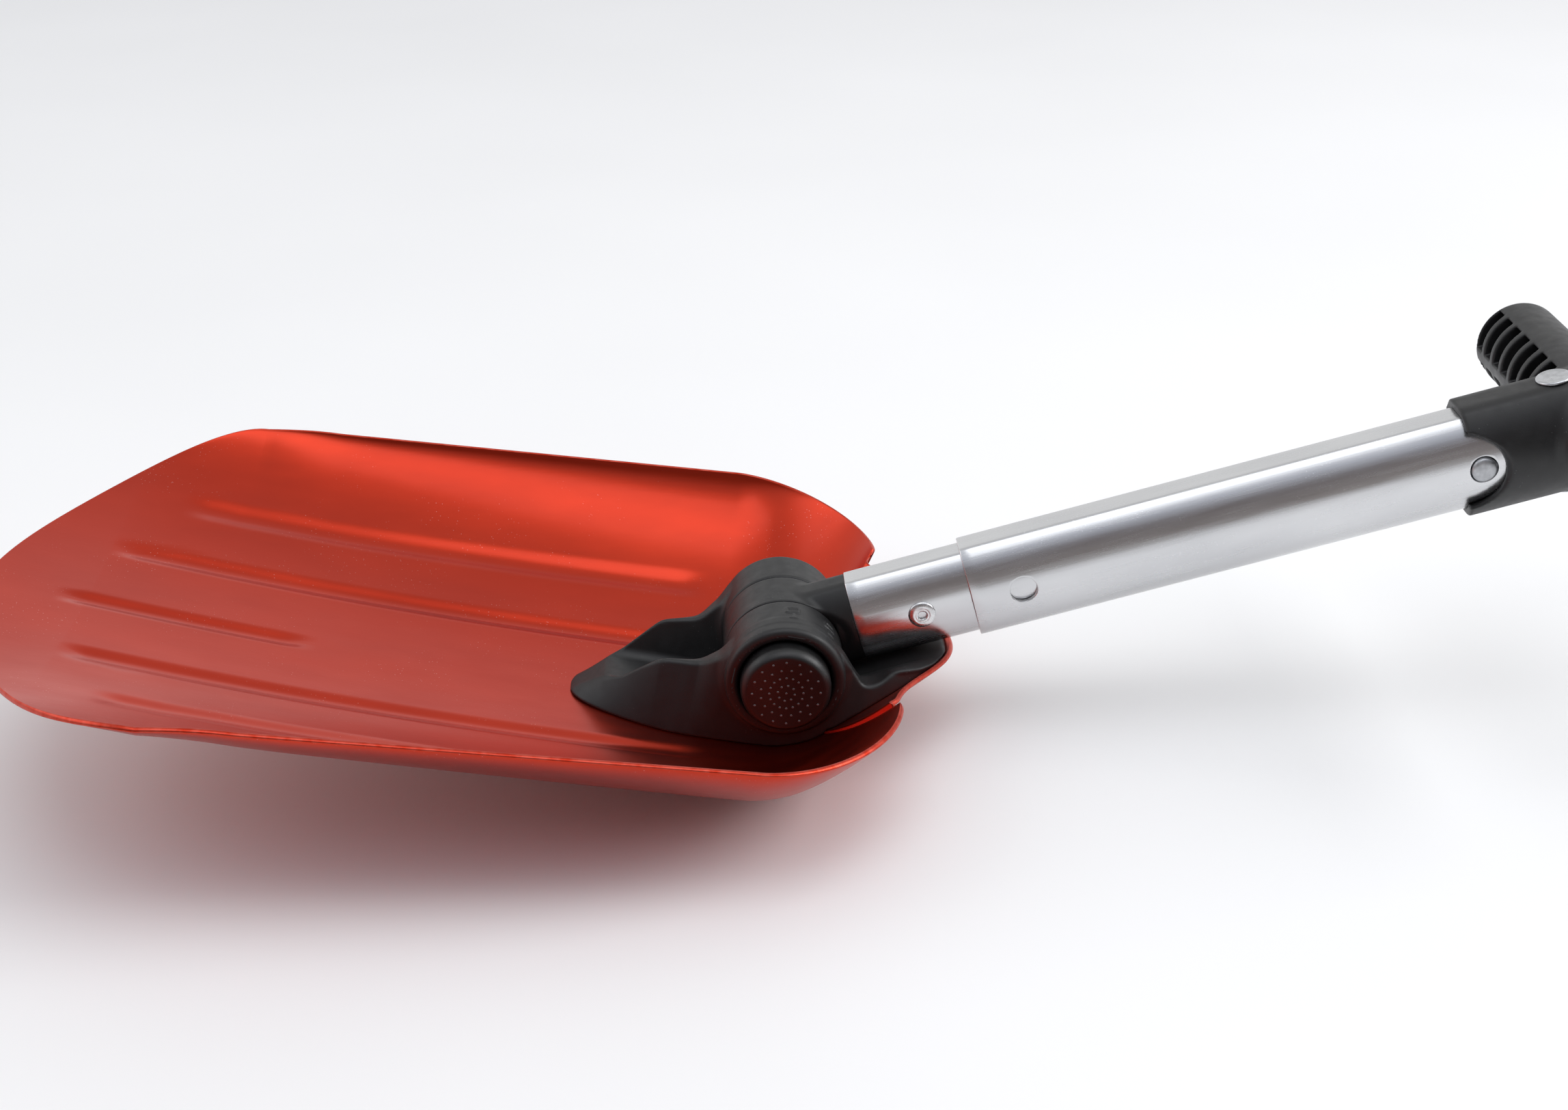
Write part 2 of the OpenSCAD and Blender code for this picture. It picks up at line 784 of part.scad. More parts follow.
place() blade();
place() hinge_bracket();
place() bracket_rivets();
place() rivet_washers();
place() hinge_axle();
place() axle_washer();
place() axle_nut();
place() far_cap();
place() push_button();
place() lock_gear();
place() gear_screws();
place() lock_spring();
place() hinge_knuckle();
place() inner_tube();
place() stub_rivets();
place() tube_glide();
place() snap_button();
place() snap_spring();
place() outer_tube();
place() tee_grip();
place() grip_rivet();
place() rivet_caps();
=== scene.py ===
"""Looks for the folding camp shovel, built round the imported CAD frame.

Shapes are in millimetres, in two local frames that share the hinge axis as origin: the blade
frame (X towards the grip, blade floor level) and the shaft frame (X along the tubes).
"""

import math

import bmesh
import bpy
import numpy as np
from mathutils import Matrix, Vector


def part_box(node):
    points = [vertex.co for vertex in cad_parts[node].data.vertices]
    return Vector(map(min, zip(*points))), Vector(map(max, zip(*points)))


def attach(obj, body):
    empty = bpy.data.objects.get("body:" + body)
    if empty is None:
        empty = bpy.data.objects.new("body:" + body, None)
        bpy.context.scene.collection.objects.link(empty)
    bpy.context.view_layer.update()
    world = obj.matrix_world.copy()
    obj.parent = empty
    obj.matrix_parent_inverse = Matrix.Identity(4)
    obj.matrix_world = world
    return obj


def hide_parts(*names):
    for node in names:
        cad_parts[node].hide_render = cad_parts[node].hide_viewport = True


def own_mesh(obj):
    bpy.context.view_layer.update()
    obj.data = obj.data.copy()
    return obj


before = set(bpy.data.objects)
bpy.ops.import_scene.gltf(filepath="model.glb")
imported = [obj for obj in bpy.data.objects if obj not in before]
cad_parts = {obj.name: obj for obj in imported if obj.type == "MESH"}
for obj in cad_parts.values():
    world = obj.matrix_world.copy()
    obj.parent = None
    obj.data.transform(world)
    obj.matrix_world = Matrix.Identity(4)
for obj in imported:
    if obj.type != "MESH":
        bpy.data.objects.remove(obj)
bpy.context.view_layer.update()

MM = 0.001
TILT = math.radians(12.5)
PITCH = math.radians(27.0)
FOLDED = PITCH + math.radians(150.0)
axle_low, axle_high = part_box("hinge_axle")
HINGE = np.array([(axle_low.x + axle_high.x) / 2, 0.0, (axle_low.z + axle_high.z) / 2])


# ---- frames -------------------------------------------------------------------------


def turned(points, angle):
    """Points turned about the Y axis, nose down for a positive angle."""
    x, y, z = np.asarray(points, float).reshape(-1, 3).T
    c, s = math.cos(angle), math.sin(angle)
    return np.stack([x * c + z * s, y, z * c - x * s], -1)


def from_blade(points):
    return turned(points, TILT) * MM + HINGE


def from_shaft(points):
    return turned(points, TILT - PITCH) * MM + HINGE


def tube_axes(x, z, angle):
    """Distance along a tube that rises at an angle from the hinge, and distance above it."""
    c, s = math.cos(angle), math.sin(angle)
    return x * c + z * s, z * c - x * s


# ---- meshes -------------------------------------------------------------------------


def quad_mesh(name, points, quads):
    """A mesh made only of quads, filled in one go because some have over 100,000 faces."""
    mesh = bpy.data.meshes.new(name)
    quads = np.asarray(quads, np.int32)
    mesh.vertices.add(len(points))
    mesh.vertices.foreach_set("co", np.asarray(points, np.float32).ravel())
    mesh.loops.add(quads.size)
    mesh.loops.foreach_set("vertex_index", quads.ravel())
    mesh.polygons.add(len(quads))
    mesh.polygons.foreach_set("loop_start", np.arange(0, quads.size, 4, dtype=np.int32))
    mesh.update(calc_edges=True)
    mesh.validate()
    return mesh


def bridged(rings):
    """Quads between each ring of point numbers and the next one."""
    faces = []
    for ring, following in zip(rings, rings[1:]):
        for i in range(len(ring)):
            j = (i + 1) % len(ring)
            faces.append((ring[i], ring[j], following[j], following[i]))
    return faces


def clean(mesh):
    """Welds points that coincide and turns all faces outward."""
    bm = bmesh.new()
    bm.from_mesh(mesh)
    bmesh.ops.remove_doubles(bm, verts=bm.verts, dist=1e-6)
    bmesh.ops.dissolve_degenerate(bm, edges=bm.edges, dist=1e-7)
    bmesh.ops.recalc_face_normals(bm, faces=bm.faces)
    bm.to_mesh(mesh)
    bm.free()
    mesh.update()


def joined(name, meshes):
    """Several meshes as one."""
    bm = bmesh.new()
    for mesh in meshes:
        bm.from_mesh(mesh)
    result = bpy.data.meshes.new(name)
    bm.to_mesh(result)
    bm.free()
    return result


def round_angles(steps):
    return np.linspace(0, 2 * math.pi, steps, endpoint=False)


def spun(name, profile, place, steps=96, along="y"):
    """A closed surface of revolution; the profile of (radius, level) runs from axis to axis."""
    angles = round_angles(steps)
    points = []
    for radius, level in profile:
        c, s = radius * np.cos(angles), radius * np.sin(angles)
        flat = np.full(steps, float(level))
        points.append(np.stack([c, flat, s] if along == "y" else [c, s, flat], -1))
    rings = [range(k * steps, (k + 1) * steps) for k in range(len(profile))]
    mesh = bpy.data.meshes.new(name)
    mesh.from_pydata(place(np.concatenate(points)).tolist(), [], bridged(rings))
    clean(mesh)
    return mesh


def add_piece(name, mesh, body, materials, nodes):
    """Puts a finished mesh in the scene, smooth shaded, in place of its CAD nodes."""
    mesh.shade_smooth()
    for material in materials:
        mesh.materials.append(material)
    obj = bpy.data.objects.new(name, mesh)
    bpy.context.scene.collection.objects.link(obj)
    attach(obj, body)
    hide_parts(*nodes)


# ---- distance fields: negative inside, in millimetres ---------------------------------

# Shortest edge of an outline, and the reach over which a field's slope is measured
SHORTEST = 1e-4
PROBE = 0.04
# Corners and edges of one grid cell
CORNERS = [(i, j, k) for i in (0, 1) for j in (0, 1) for k in (0, 1)]
EDGES = [(a, b) for a in CORNERS for b in CORNERS if sum(b) - sum(a) == 1
         and all(q >= p for p, q in zip(a, b))]


def cut_round(a, b, radius):
    """Where both fields are inside, with the edge between them rounded."""
    u = np.maximum(a + radius, 0)
    v = np.maximum(b + radius, 0)
    return np.minimum(np.maximum(a, b) + radius, 0) + np.sqrt(u * u + v * v) - radius


def join_round(a, b, radius):
    """Where either field is inside, with a fillet between them."""
    return -cut_round(-a, -b, radius)


def slab(value, low, high):
    return np.abs(value - (low + high) / 2) - (high - low) / 2


def outline(px, pz, points):
    """Signed distance to a closed flat outline."""
    best = None
    sign = 1.0
    for (ax, az), (bx, bz) in zip(points, points[1:] + points[:1]):
        ex, ez = bx - ax, bz - az
        wx, wz = px - ax, pz - az
        t = np.clip((wx * ex + wz * ez) / (ex * ex + ez * ez), 0, 1)
        d = (wx - ex * t) ** 2 + (wz - ez * t) ** 2
        best = d if best is None else np.minimum(best, d)
        above, below, left = az <= pz, bz > pz, ex * wz > ez * wx
        flip = (above & below & left) | (~above & ~below & ~left)
        sign = np.where(flip, -sign, sign)
    return sign * np.sqrt(best)


def eased(start, corner, end, t):
    """A point on the short curve that replaces a corner."""
    return start * (1 - t) ** 2 + corner * 2 * t * (1 - t) + end * t * t


def rounded(points, radius, steps=5):
    """A closed outline with each corner replaced by a short curve."""
    out = []
    count = len(points)
    for i in range(count):
        before, corner, after = (np.array(points[(i + k) % count], float) for k in (-1, 0, 1))
        a, b = before - corner, after - corner
        length_a, length_b = np.linalg.norm(a), np.linalg.norm(b)
        reach = min(radius, length_a / 2, length_b / 2)
        start, end = corner + a / length_a * reach, corner + b / length_b * reach
        for k in range(steps + 1):
            p = eased(start, corner, end, k / steps)
            if not out or math.dist(out[-1], p) > SHORTEST:
                out.append((float(p[0]), float(p[1])))
    return out if math.dist(out[0], out[-1]) > SHORTEST else out[:-1]


def crossed_cells(inside):
    """Grid cells with corners on both sides of the surface."""
    nx, ny, nz = inside.shape
    count = np.zeros((nx - 1, ny - 1, nz - 1), np.int8)
    for i, j, k in CORNERS:
        count += inside[i:nx - 1 + i, j:ny - 1 + j, k:nz - 1 + k]
    return np.stack(np.nonzero((count > 0) & (count < len(CORNERS))), -1)


def crossing_means(depth, cells):
    """For each cell, the mean of the places where the surface cuts its edges."""
    total = np.zeros((len(cells), 3))
    hits = np.zeros(len(cells))
    for a, b in EDGES:
        depth_a = depth[tuple((cells + a).T)]
        depth_b = depth[tuple((cells + b).T)]
        cut = (depth_a < 0) != (depth_b < 0)
        share = np.where(cut, depth_a / np.where(cut, depth_a - depth_b, 1), 0)
        total += (np.array(a) + share[:, None] * (np.array(b) - np.array(a))) * cut[:, None]
        hits += cut
    return total / hits[:, None]


def net_quads(inside, cells):
    """One quad round each grid edge that the surface cuts, facing outward."""
    index = np.full(np.array(inside.shape) - 1, -1, np.int32)
    index[tuple(cells.T)] = np.arange(len(cells))
    quads = []
    for axis in range(3):
        u, v = (axis + 1) % 3, (axis + 2) % 3
        first = np.take(inside, range(inside.shape[axis] - 1), axis)
        second = np.take(inside, range(1, inside.shape[axis]), axis)
        at = np.stack(np.nonzero(first != second), -1)
        at = at[(at[:, u] > 0) & (at[:, v] > 0)]
        at = at[(at[:, u] < inside.shape[u] - 1) & (at[:, v] < inside.shape[v] - 1)]
        ring = []
        for du, dv in ((-1, -1), (0, -1), (0, 0), (-1, 0)):
            cell = at.copy()
            cell[:, u] += du
            cell[:, v] += dv
            ring.append(index[tuple(cell.T)])
        ring = np.stack(ring, -1)
        quads.append(np.where(first[tuple(at.T)][:, None], ring, ring[:, ::-1]))
    return np.concatenate(quads)


def settled(points, field, step):
    """The points moved onto the surface along the field's slope."""
    for _ in range(3):
        slope = np.stack([field(*(points + h).T) - field(*(points - h).T)
                          for h in np.eye(3) * PROBE], -1) / (2 * PROBE)
        size = np.maximum((slope ** 2).sum(1), 0.3)
        move = np.clip(field(*points.T) / size, -step / 2, step / 2)
        points = points - slope * move[:, None]
    return points


def net_piece(name, field, low, high, step, place, body, material, nodes):
    """Adds the surface where a distance field is zero, inside a box, as one piece."""
    axes = [np.arange(a, b + step, step, dtype=np.float32) for a, b in zip(low, high)]
    grid = np.meshgrid(*axes, indexing="ij", sparse=True)
    depth = np.broadcast_to(field(*grid), [len(a) for a in axes])
    cells = crossed_cells(depth < 0)
    points = (cells + crossing_means(depth, cells)) * step + np.array(low)
    mesh = quad_mesh(name, place(settled(points, field, step)), net_quads(depth < 0, cells))
    add_piece(name, mesh, body, [material], nodes)


# ---- materials ----------------------------------------------------------------------


def grey(value):
    return (value, value, value)


def fill_ramp(node, stops):
    """Sets a colour ramp's stops, each a position and a colour."""
    elements = node.color_ramp.elements
    while len(elements) < len(stops):
        elements.new(0.5)
    for element, (at, colour) in zip(elements, stops):
        element.position = at
        element.color = (*colour, 1)


class Shader:
    """A node material with its main shader and a few shorthands."""

    def __init__(self, name, colour, metallic, roughness):
        self.material = bpy.data.materials.new(name)
        self.material.use_nodes = True
        self.tree = self.material.node_tree
        self.main = self.tree.nodes["Principled BSDF"]
        self.set(self.main, "Base Color", (*colour, 1))
        self.set(self.main, "Metallic", metallic)
        self.set(self.main, "Roughness", roughness)
        self.place = self.tree.nodes.new("ShaderNodeTexCoord").outputs["Object"]

    @staticmethod
    def set(node, socket, value):
        node.inputs[socket].default_value = value

    def link(self, source, node, socket):
        self.tree.links.new(source, node.inputs[socket])

    def paint(self, socket, source):
        """Drives one of the main shader's sockets."""
        self.link(source, self.main, socket)

    def mapped(self, scale, turn=0.0):
        """Coordinates stretched by one scale or three, after a turn about Y."""
        node = self.tree.nodes.new("ShaderNodeMapping")
        node.vector_type = "TEXTURE"
        self.set(node, "Rotation", (0, turn, 0))
        self.set(node, "Scale", [1 / float(s) for s in np.broadcast_to(scale, 3)])
        self.link(self.place, node, "Vector")
        return node.outputs["Vector"]

    def noise(self, scale, detail, turn=0.0):
        node = self.tree.nodes.new("ShaderNodeTexNoise")
        self.set(node, "Scale", 1.0)
        self.set(node, "Detail", detail)
        self.link(self.mapped(scale, turn), node, "Vector")
        return node.outputs["Fac"]

    def ramp(self, source, stops):
        node = self.tree.nodes.new("ShaderNodeValToRGB")
        fill_ramp(node, stops)
        self.link(source, node, "Fac")
        return node.outputs["Color"]

    def tone(self, scale, detail, low, high, turn=0.0):
        """Noise read as a colour between two stops."""
        return self.ramp(self.noise(scale, detail, turn), [low, high])

    def specks(self, scale, size, cloud, thin, thick):
        """1 in small round spots where a slow noise is high, 0 elsewhere."""
        node = self.tree.nodes.new("ShaderNodeTexVoronoi")
        self.set(node, "Scale", 1.0)
        self.link(self.mapped(scale), node, "Vector")
        spots = self.ramp(node.outputs["Distance"], [(size * 0.6, grey(1)), (size, grey(0))])
        patches = self.tone(cloud, 2, (thin, grey(0)), (thick, grey(1)))
        both = self.tree.nodes.new("ShaderNodeMath")
        both.operation = "MULTIPLY"
        self.link(spots, both, 0)
        self.link(patches, both, 1)
        return both.outputs[0]

    def mix(self, factor, base, over):
        """A colour laid over a painted base where the factor is 1."""
        node = self.tree.nodes.new("ShaderNodeMix")
        node.data_type = "RGBA"
        self.link(factor, node, 0)
        self.link(base, node, 6)
        self.set(node, 7, (*over, 1))
        return node.outputs[2]

    def bump(self, heights, distance):
        """Chains bumps: each height map with its strength."""
        previous = None
        for source, strength in heights:
            node = self.tree.nodes.new("ShaderNodeBump")
            self.set(node, "Strength", strength)
            self.set(node, "Distance", distance)
            self.link(source, node, "Height")
            if previous:
                self.link(previous, node, "Normal")
            previous = node.outputs["Normal"]
        self.paint("Normal", previous)


def red_anodised():
    """Red anodised sheet with a fine rolling grain, dust and a glossy seal."""
    shade = Shader("red_anodised", (0.53, 0.032, 0.009), 1.0, 0.3)
    colour = shade.tone((14, 30, 30), 4, (0.3, (0.49, 0.028, 0.007)), (0.7, (0.57, 0.036, 0.010)))
    dust = shade.specks(620, 0.13, 40, 0.50, 0.66)
    shade.paint("Base Color", shade.mix(dust, colour, (0.66, 0.22, 0.19)))
    shade.paint("Roughness", shade.tone((30, 120, 120), 5, (0.3, grey(0.29)), (0.75, grey(0.37))))
    waves = shade.noise((90, 110, 110), 3)
    grain = shade.noise((25, 900, 900), 3)
    shade.bump([(waves, 0.05), (grain, 0.03)], 0.0004)
    shade.set(shade.main, "Coat Weight", 0.32)
    shade.set(shade.main, "Coat Roughness", 0.2)
    shade.set(shade.main, "Coat IOR", 1.5)
    return shade.material


def raw_red_edge():
    """The sheet's rubbed edge, paler than its faces."""
    shade = Shader("red_sheet_edge", (0.56, 0.06, 0.035), 1.0, 0.36)
    worn = shade.tone(300, 4, (0.35, (0.50, 0.035, 0.015)), (0.65, (0.60, 0.085, 0.055)))
    shade.paint("Base Color", worn)
    shade.bump([(shade.noise(900, 2), 0.10)], 0.0002)
    return shade.material


def black_plastic(name, dark, light, roughness):
    """Moulded plastic with a fine spark-eroded grain and a little dust."""
    shade = Shader(name, grey(dark), 0.0, roughness)
    colour = shade.tone(60, 5, (0.35, (dark, dark, dark * 1.05)), (0.70, (light, light, light * 1.07)))
    dust = shade.specks(700, 0.12, 60, 0.52, 0.68)
    shade.paint("Base Color", shade.mix(dust, colour, grey(0.12)))
    low, high = (0.3, grey(roughness - 0.05)), (0.7, grey(roughness + 0.07))
    shade.paint("Roughness", shade.tone(240, 5, low, high))
    shade.bump([(shade.noise(4200, 2), 0.22), (shade.noise(420, 3), 0.05)], 0.00012)
    return shade.material


def bright_tube():
    """Drawn aluminium with streaks along the tube and bright nicks."""
    shade = Shader("drawn_aluminium", (0.67, 0.675, 0.685), 1.0, 0.2)
    turn = TILT - PITCH
    haze = shade.tone((18, 60, 60), 4, (0.3, (0.63, 0.635, 0.65)), (0.7, (0.70, 0.705, 0.715)), turn)
    nicks = shade.specks(900, 0.14, 50, 0.45, 0.62)
    shade.paint("Base Color", shade.mix(nicks, haze, (0.93, 0.93, 0.95)))
    dulled = shade.tone((30, 500, 500), 4, (0.3, grey(0.20)), (0.7, grey(0.30)), turn)
    shade.paint("Roughness", dulled)
    shade.bump([(shade.noise((9, 1300, 1300), 3, turn), 0.05), (nicks, 0.10)], 0.0002)
    return shade.material


def plain_metal(name, colour, roughness):
    """Plated or cast metal, slightly mottled."""
    shade = Shader(name, colour, 1.0, roughness)
    shade.paint("Base Color", shade.tone(500, 4, (0.35, tuple(0.8 * c for c in colour)), (0.65, colour)))
    low, high = (0.3, grey(roughness - 0.06)), (0.7, grey(roughness + 0.1))
    shade.paint("Roughness", shade.tone(900, 4, low, high))
    shade.bump([(shade.noise(700, 3), 0.15)], 0.00015)
    return shade.material


def pale_floor():
    shade = Shader("pale_floor", grey(0.92), 0.0, 0.6)
    shade.paint("Base Color", shade.tone(3, 2, (0.3, grey(0.90)), (0.7, grey(0.93))))
    return shade.material


RED = red_anodised()
RED_EDGE = raw_red_edge()
BRACKET_BLACK = black_plastic("bracket_black", 0.009, 0.0125, 0.47)
BUTTON_BLACK = black_plastic("button_black", 0.007, 0.010, 0.38)
# The dots' pale grey is a painted highlight, standing in for the light caught by the small domes on the
# dark button.
DOT_HIGHLIGHT_GREY = black_plastic("button_dots_painted_highlight", 0.10, 0.16, 0.35)
GRIP_BLACK = black_plastic("grip_black", 0.008, 0.012, 0.43)
TUBE = bright_tube()
ZINC = plain_metal("zinc_button", (0.50, 0.51, 0.53), 0.40)
RIVET = plain_metal("rivet_alloy", (0.80, 0.80, 0.81), 0.26)
STEEL = plain_metal("plated_steel", (0.62, 0.63, 0.65), 0.30)


# ---- blade --------------------------------------------------------------------------

SHEET = 1.8
LIP = 0.45  # how far the rounded edge stands out
BLADE_HALF = 115.5
TIP_REACH = 272.0
TONGUE_REACH = 57.8
FRONT_ROUNDNESS = 1.69
REAR_ROUNDNESS = 1.72
# Places along the blade
SPINE_FRONT = -238.0
SIDE_FRONT = -198.0
SIDE_BEND = -170.0
FLOOR_MIDDLE = -110.0
SIDE_REAR = -15.0
SIDE_TAPER = 2.0
NOTCH_X = 34.0
NOTCH_Y = 57.6
# Heights of the floor and of the rim
FLOOR_DEPTH = 31.5
TIP_HEIGHT = -25.0
SHOULDER_HEIGHT = -4.2
BEND_HEIGHT = -1.0
REAR_HEIGHT = 12.2
NOTCH_HEIGHT = 14.4
TONGUE_HEIGHT = 11.0
# The tongue's half width, and the small nick at its root: place, half width and depth
TONGUE_HALF = 52.0
NICK = (53.5, 2.6, 2.4)
# Section of the walls: powers at the front and the rear, and how much steeper the sides are
FRONT_POWER = 2.4
REAR_POWER = 2.0
SIDE_UPRIGHT = 1.4
UPRIGHT_FRONT = -250.0
UPRIGHT_RUN = 100.0
# How far the floor rises in front of its middle, over which length, and behind it
FLOOR_RISE_FRONT = 6.6
FLOOR_RUN_FRONT = 160.0
FLOOR_RISE_REAR = 3.0
# Pressed grooves: distance from the middle, half width, depth, front end, rear end
GROOVES = [(0, 5.6, 1.2, -250, -160), (39, 6.4, 1.25, -240, -20), (73, 7.4, 1.1, -222, -22)]
GROOVE_RUN_IN = 13.0
GROOVE_RUN_OUT = 11.0
# Rings of points: spacing over the grooves, share between rings elsewhere, shares near the rim
GROOVE_STEP = 0.85
COARSE_STEP = 0.021
NEAR_RIM = [0.94, 0.953, 0.964, 0.973, 0.981, 0.987, 0.992, 0.996, 0.999, 1.0]


def smooth(t):
    u = np.clip(t, 0, 1)
    return u * u * (3 - 2 * u)


def mix(a, b, t):
    return a + (b - a) * t


def unit(vectors):
    return vectors / np.linalg.norm(vectors, axis=-1, keepdims=True)


def floor_height(x):
    """Height of the blade's floor along its middle line."""
    front = FLOOR_RISE_FRONT * (np.minimum(x - FLOOR_MIDDLE, 0) / FLOOR_RUN_FRONT) ** 2
    rear = FLOOR_RISE_REAR * (np.maximum(x - FLOOR_MIDDLE, 0) / -FLOOR_MIDDLE) ** 2
    return -FLOOR_DEPTH + front + rear


def front_rim():
    """Rim from the tip to where the side begins, a superellipse."""
    t = np.linspace(0, 1, 96, endpoint=False) * math.pi / 2
    x = SIDE_FRONT - (TIP_REACH + SIDE_FRONT) * np.cos(t) ** (2 / FRONT_ROUNDNESS)
    y = BLADE_HALF * np.sin(t) ** (2 / FRONT_ROUNDNESS)
    return np.stack([x, y, mix(TIP_HEIGHT, SHOULDER_HEIGHT, (y / BLADE_HALF) ** 3.8)], -1)


def side_rim():
    t = np.linspace(0, 1, 56, endpoint=False)
    x = mix(SIDE_FRONT, SIDE_REAR, t)
    ahead = np.maximum(SIDE_BEND - x, 0) / (SIDE_BEND - SIDE_FRONT)
    behind = (x - SIDE_BEND) / (SIDE_REAR - SIDE_BEND)
    z = np.where(x < SIDE_BEND, mix(BEND_HEIGHT, SHOULDER_HEIGHT, ahead ** 1.6),
                 mix(BEND_HEIGHT, REAR_HEIGHT, behind))
    return np.stack([x, BLADE_HALF - SIDE_TAPER * t, z], -1)


def corner_rim():
    """Rim round the rear corner, from the side to the notch beside the tongue."""
    t = np.linspace(0, 1, 56, endpoint=False) * math.pi / 2
    back = np.sin(t) ** (2 / REAR_ROUNDNESS)
    out = np.cos(t) ** (2 / REAR_ROUNDNESS)
    return np.stack([mix(SIDE_REAR, NOTCH_X, back), mix(NOTCH_Y, BLADE_HALF - SIDE_TAPER, out),
                     mix(REAR_HEIGHT, NOTCH_HEIGHT, back)], -1)


def tongue_rim():
    y = NOTCH_Y * (1 - np.linspace(0, 1, 91))
    rise = (0.5 + 0.5 * np.cos(math.pi * np.minimum(1, y / TONGUE_HALF))) ** 0.85
    nick_y, nick_half, nick_depth = NICK
    nick = nick_depth * np.exp(-((y - nick_y) / nick_half) ** 2)
    z = mix(NOTCH_HEIGHT, TONGUE_HEIGHT, smooth((TONGUE_HALF + 12 - y) / 12))
    return np.stack([mix(NOTCH_X, TONGUE_REACH, rise) - nick, y, z], -1)


# Rim of one half of the blade, from the tip to the end of the tongue
HALF = np.concatenate([front_rim(), side_rim(), corner_rim(), tongue_rim()])


def wall_rise(radius, x):
    """How far the wall has risen at a share of the way out to a rim point at x."""
    rear = smooth((x - SIDE_REAR) / (NOTCH_X - SIDE_REAR))
    power = mix(FRONT_POWER, REAR_POWER, rear)
    growing = mix(1, SIDE_UPRIGHT, smooth((x - UPRIGHT_FRONT) / UPRIGHT_RUN))
    upright = np.where(x < SIDE_REAR, growing, mix(SIDE_UPRIGHT, 1, rear))
    return 1 - np.maximum(1 - radius ** power, 0) ** (1 / upright)


def blade_height(x, y):
    """Height of the blade's inner face under the bracket, grooves left out."""
    x, y = np.broadcast_arrays(np.asarray(x, float), np.abs(np.asarray(y, float)))
    low = floor_height(np.minimum(x, 0))
    side = HALF[(HALF[:, 0] > FLOOR_MIDDLE) & (HALF[:, 0] < 8) & (HALF[:, 1] > 60)]
    side_share = y / np.interp(x, side[:, 0], side[:, 1])
    side_rise = wall_rise(side_share, np.float64(SIDE_REAR - 5))
    side_z = low + (np.interp(x, side[:, 0], side[:, 2]) - low) * side_rise
    rear = HALF[HALF[:, 0] > 0]
    rear = rear[np.argsort(np.arctan2(rear[:, 1], rear[:, 0]))]
    bearings = np.arctan2(rear[:, 1], rear[:, 0])
    at = np.arctan2(y, x)
    reach = np.interp(at, bearings, np.hypot(rear[:, 0], rear[:, 1]))
    rear_rise = wall_rise(np.hypot(x, y) / reach, np.interp(at, bearings, rear[:, 0]))
    rear_z = low + (np.interp(at, bearings, rear[:, 2]) - low) * rear_rise
    return np.where(x <= 0, side_z, rear_z)


def groove_depth(x, y):
    total = 0
    for centre, half, depth, front, rear in GROOVES:
        profile = smooth(1.1 * (1 - np.abs(np.abs(y) - centre) / half))
        run = smooth((x - front) / GROOVE_RUN_IN) * smooth((rear - x) / GROOVE_RUN_OUT)
        total = np.maximum(total, depth * profile * run)
    return total


def ring_shares():
    """Share of the way out to the rim of each ring of points, dense over the grooves."""
    fine = []
    for centre, half, *_ in GROOVES:
        first = max(centre - half - 1.6, 0.9)
        fine += list(np.arange(first, centre + half + 1.6, GROOVE_STEP) / BLADE_HALF)
    coarse = [r for r in np.arange(0.012, 0.985, COARSE_STEP)
              if min(abs(r - f) for f in fine) > 0.012]
    return np.array([r for r in sorted(fine + coarse) if r < 0.93] + NEAR_RIM)[:, None]


def inner_face(rim, shares):
    """Rings of points on the blade's inner face, from the middle line out to the rim."""
    root = np.clip(rim[:, 0], SPINE_FRONT, 0)
    low = floor_height(root)
    x = mix(root, rim[:, 0], shares)
    y = rim[:, 1] * shares
    z = low + (rim[:, 2] - low) * wall_rise(shares, rim[:, 0])
    return np.stack([x, y, z - groove_depth(x, y)], -1)


def upward_normals(inner):
    """Normals of the inner face, smoothed along each ring."""
    around = np.roll(inner, -1, 1) - np.roll(inner, 1, 1)
    normal = unit(np.cross(np.gradient(inner, axis=0), around))
    normal *= np.sign(normal[..., 2:])
    for _ in range(8):
        normal = unit(np.roll(normal, 1, 1) + 2 * normal + np.roll(normal, -1, 1))
    return normal


def middle_faces(ring):
    """Faces across the narrow gap inside the first ring, with a triangle at each end."""
    end = len(HALF) - 1
    left = ring[1:end]
    right = ring[-1:-end:-1]
    faces = list(zip(left, left[1:], right[1:], right))
    return faces + [(ring[0], left[0], right[0]), (left[-1], ring[end], right[-1])]


def blade_mesh():
    rim = np.concatenate([HALF, (HALF * [1, -1, 1])[-2:0:-1]])
    inner = inner_face(rim, ring_shares())
    normal = upward_normals(inner)
    edge = unit(inner[-1] - inner[-2])
    lips = [inner[-1] - normal[-1] * SHEET * (0.5 - 0.5 * math.cos(a)) + edge * LIP * math.sin(a)
            for a in np.linspace(0, math.pi, 7)[1:-1]]
    outer = inner - SHEET * normal
    rows = np.concatenate([inner, np.array(lips), outer[::-1]])
    around = len(rim)
    rings = np.arange(len(rows) * around).reshape(len(rows), around).tolist()
    mesh = bpy.data.meshes.new("blade_skin")
    faces = bridged(rings) + middle_faces(rings[0]) + middle_faces(rings[-1])
    mesh.from_pydata(from_blade(rows).tolist(), [], faces)
    on_edge = np.zeros(len(faces), np.int32)
    on_edge[(len(inner) - 1) * around:(len(inner) + len(lips)) * around] = 1
    mesh.polygons.foreach_set("material_index", on_edge)
    clean(mesh)
    return mesh


add_piece("blade_skin", blade_mesh(), "blade", [RED, RED_EDGE], ["blade"])


# ---- tube sections ------------------------------------------------------------------

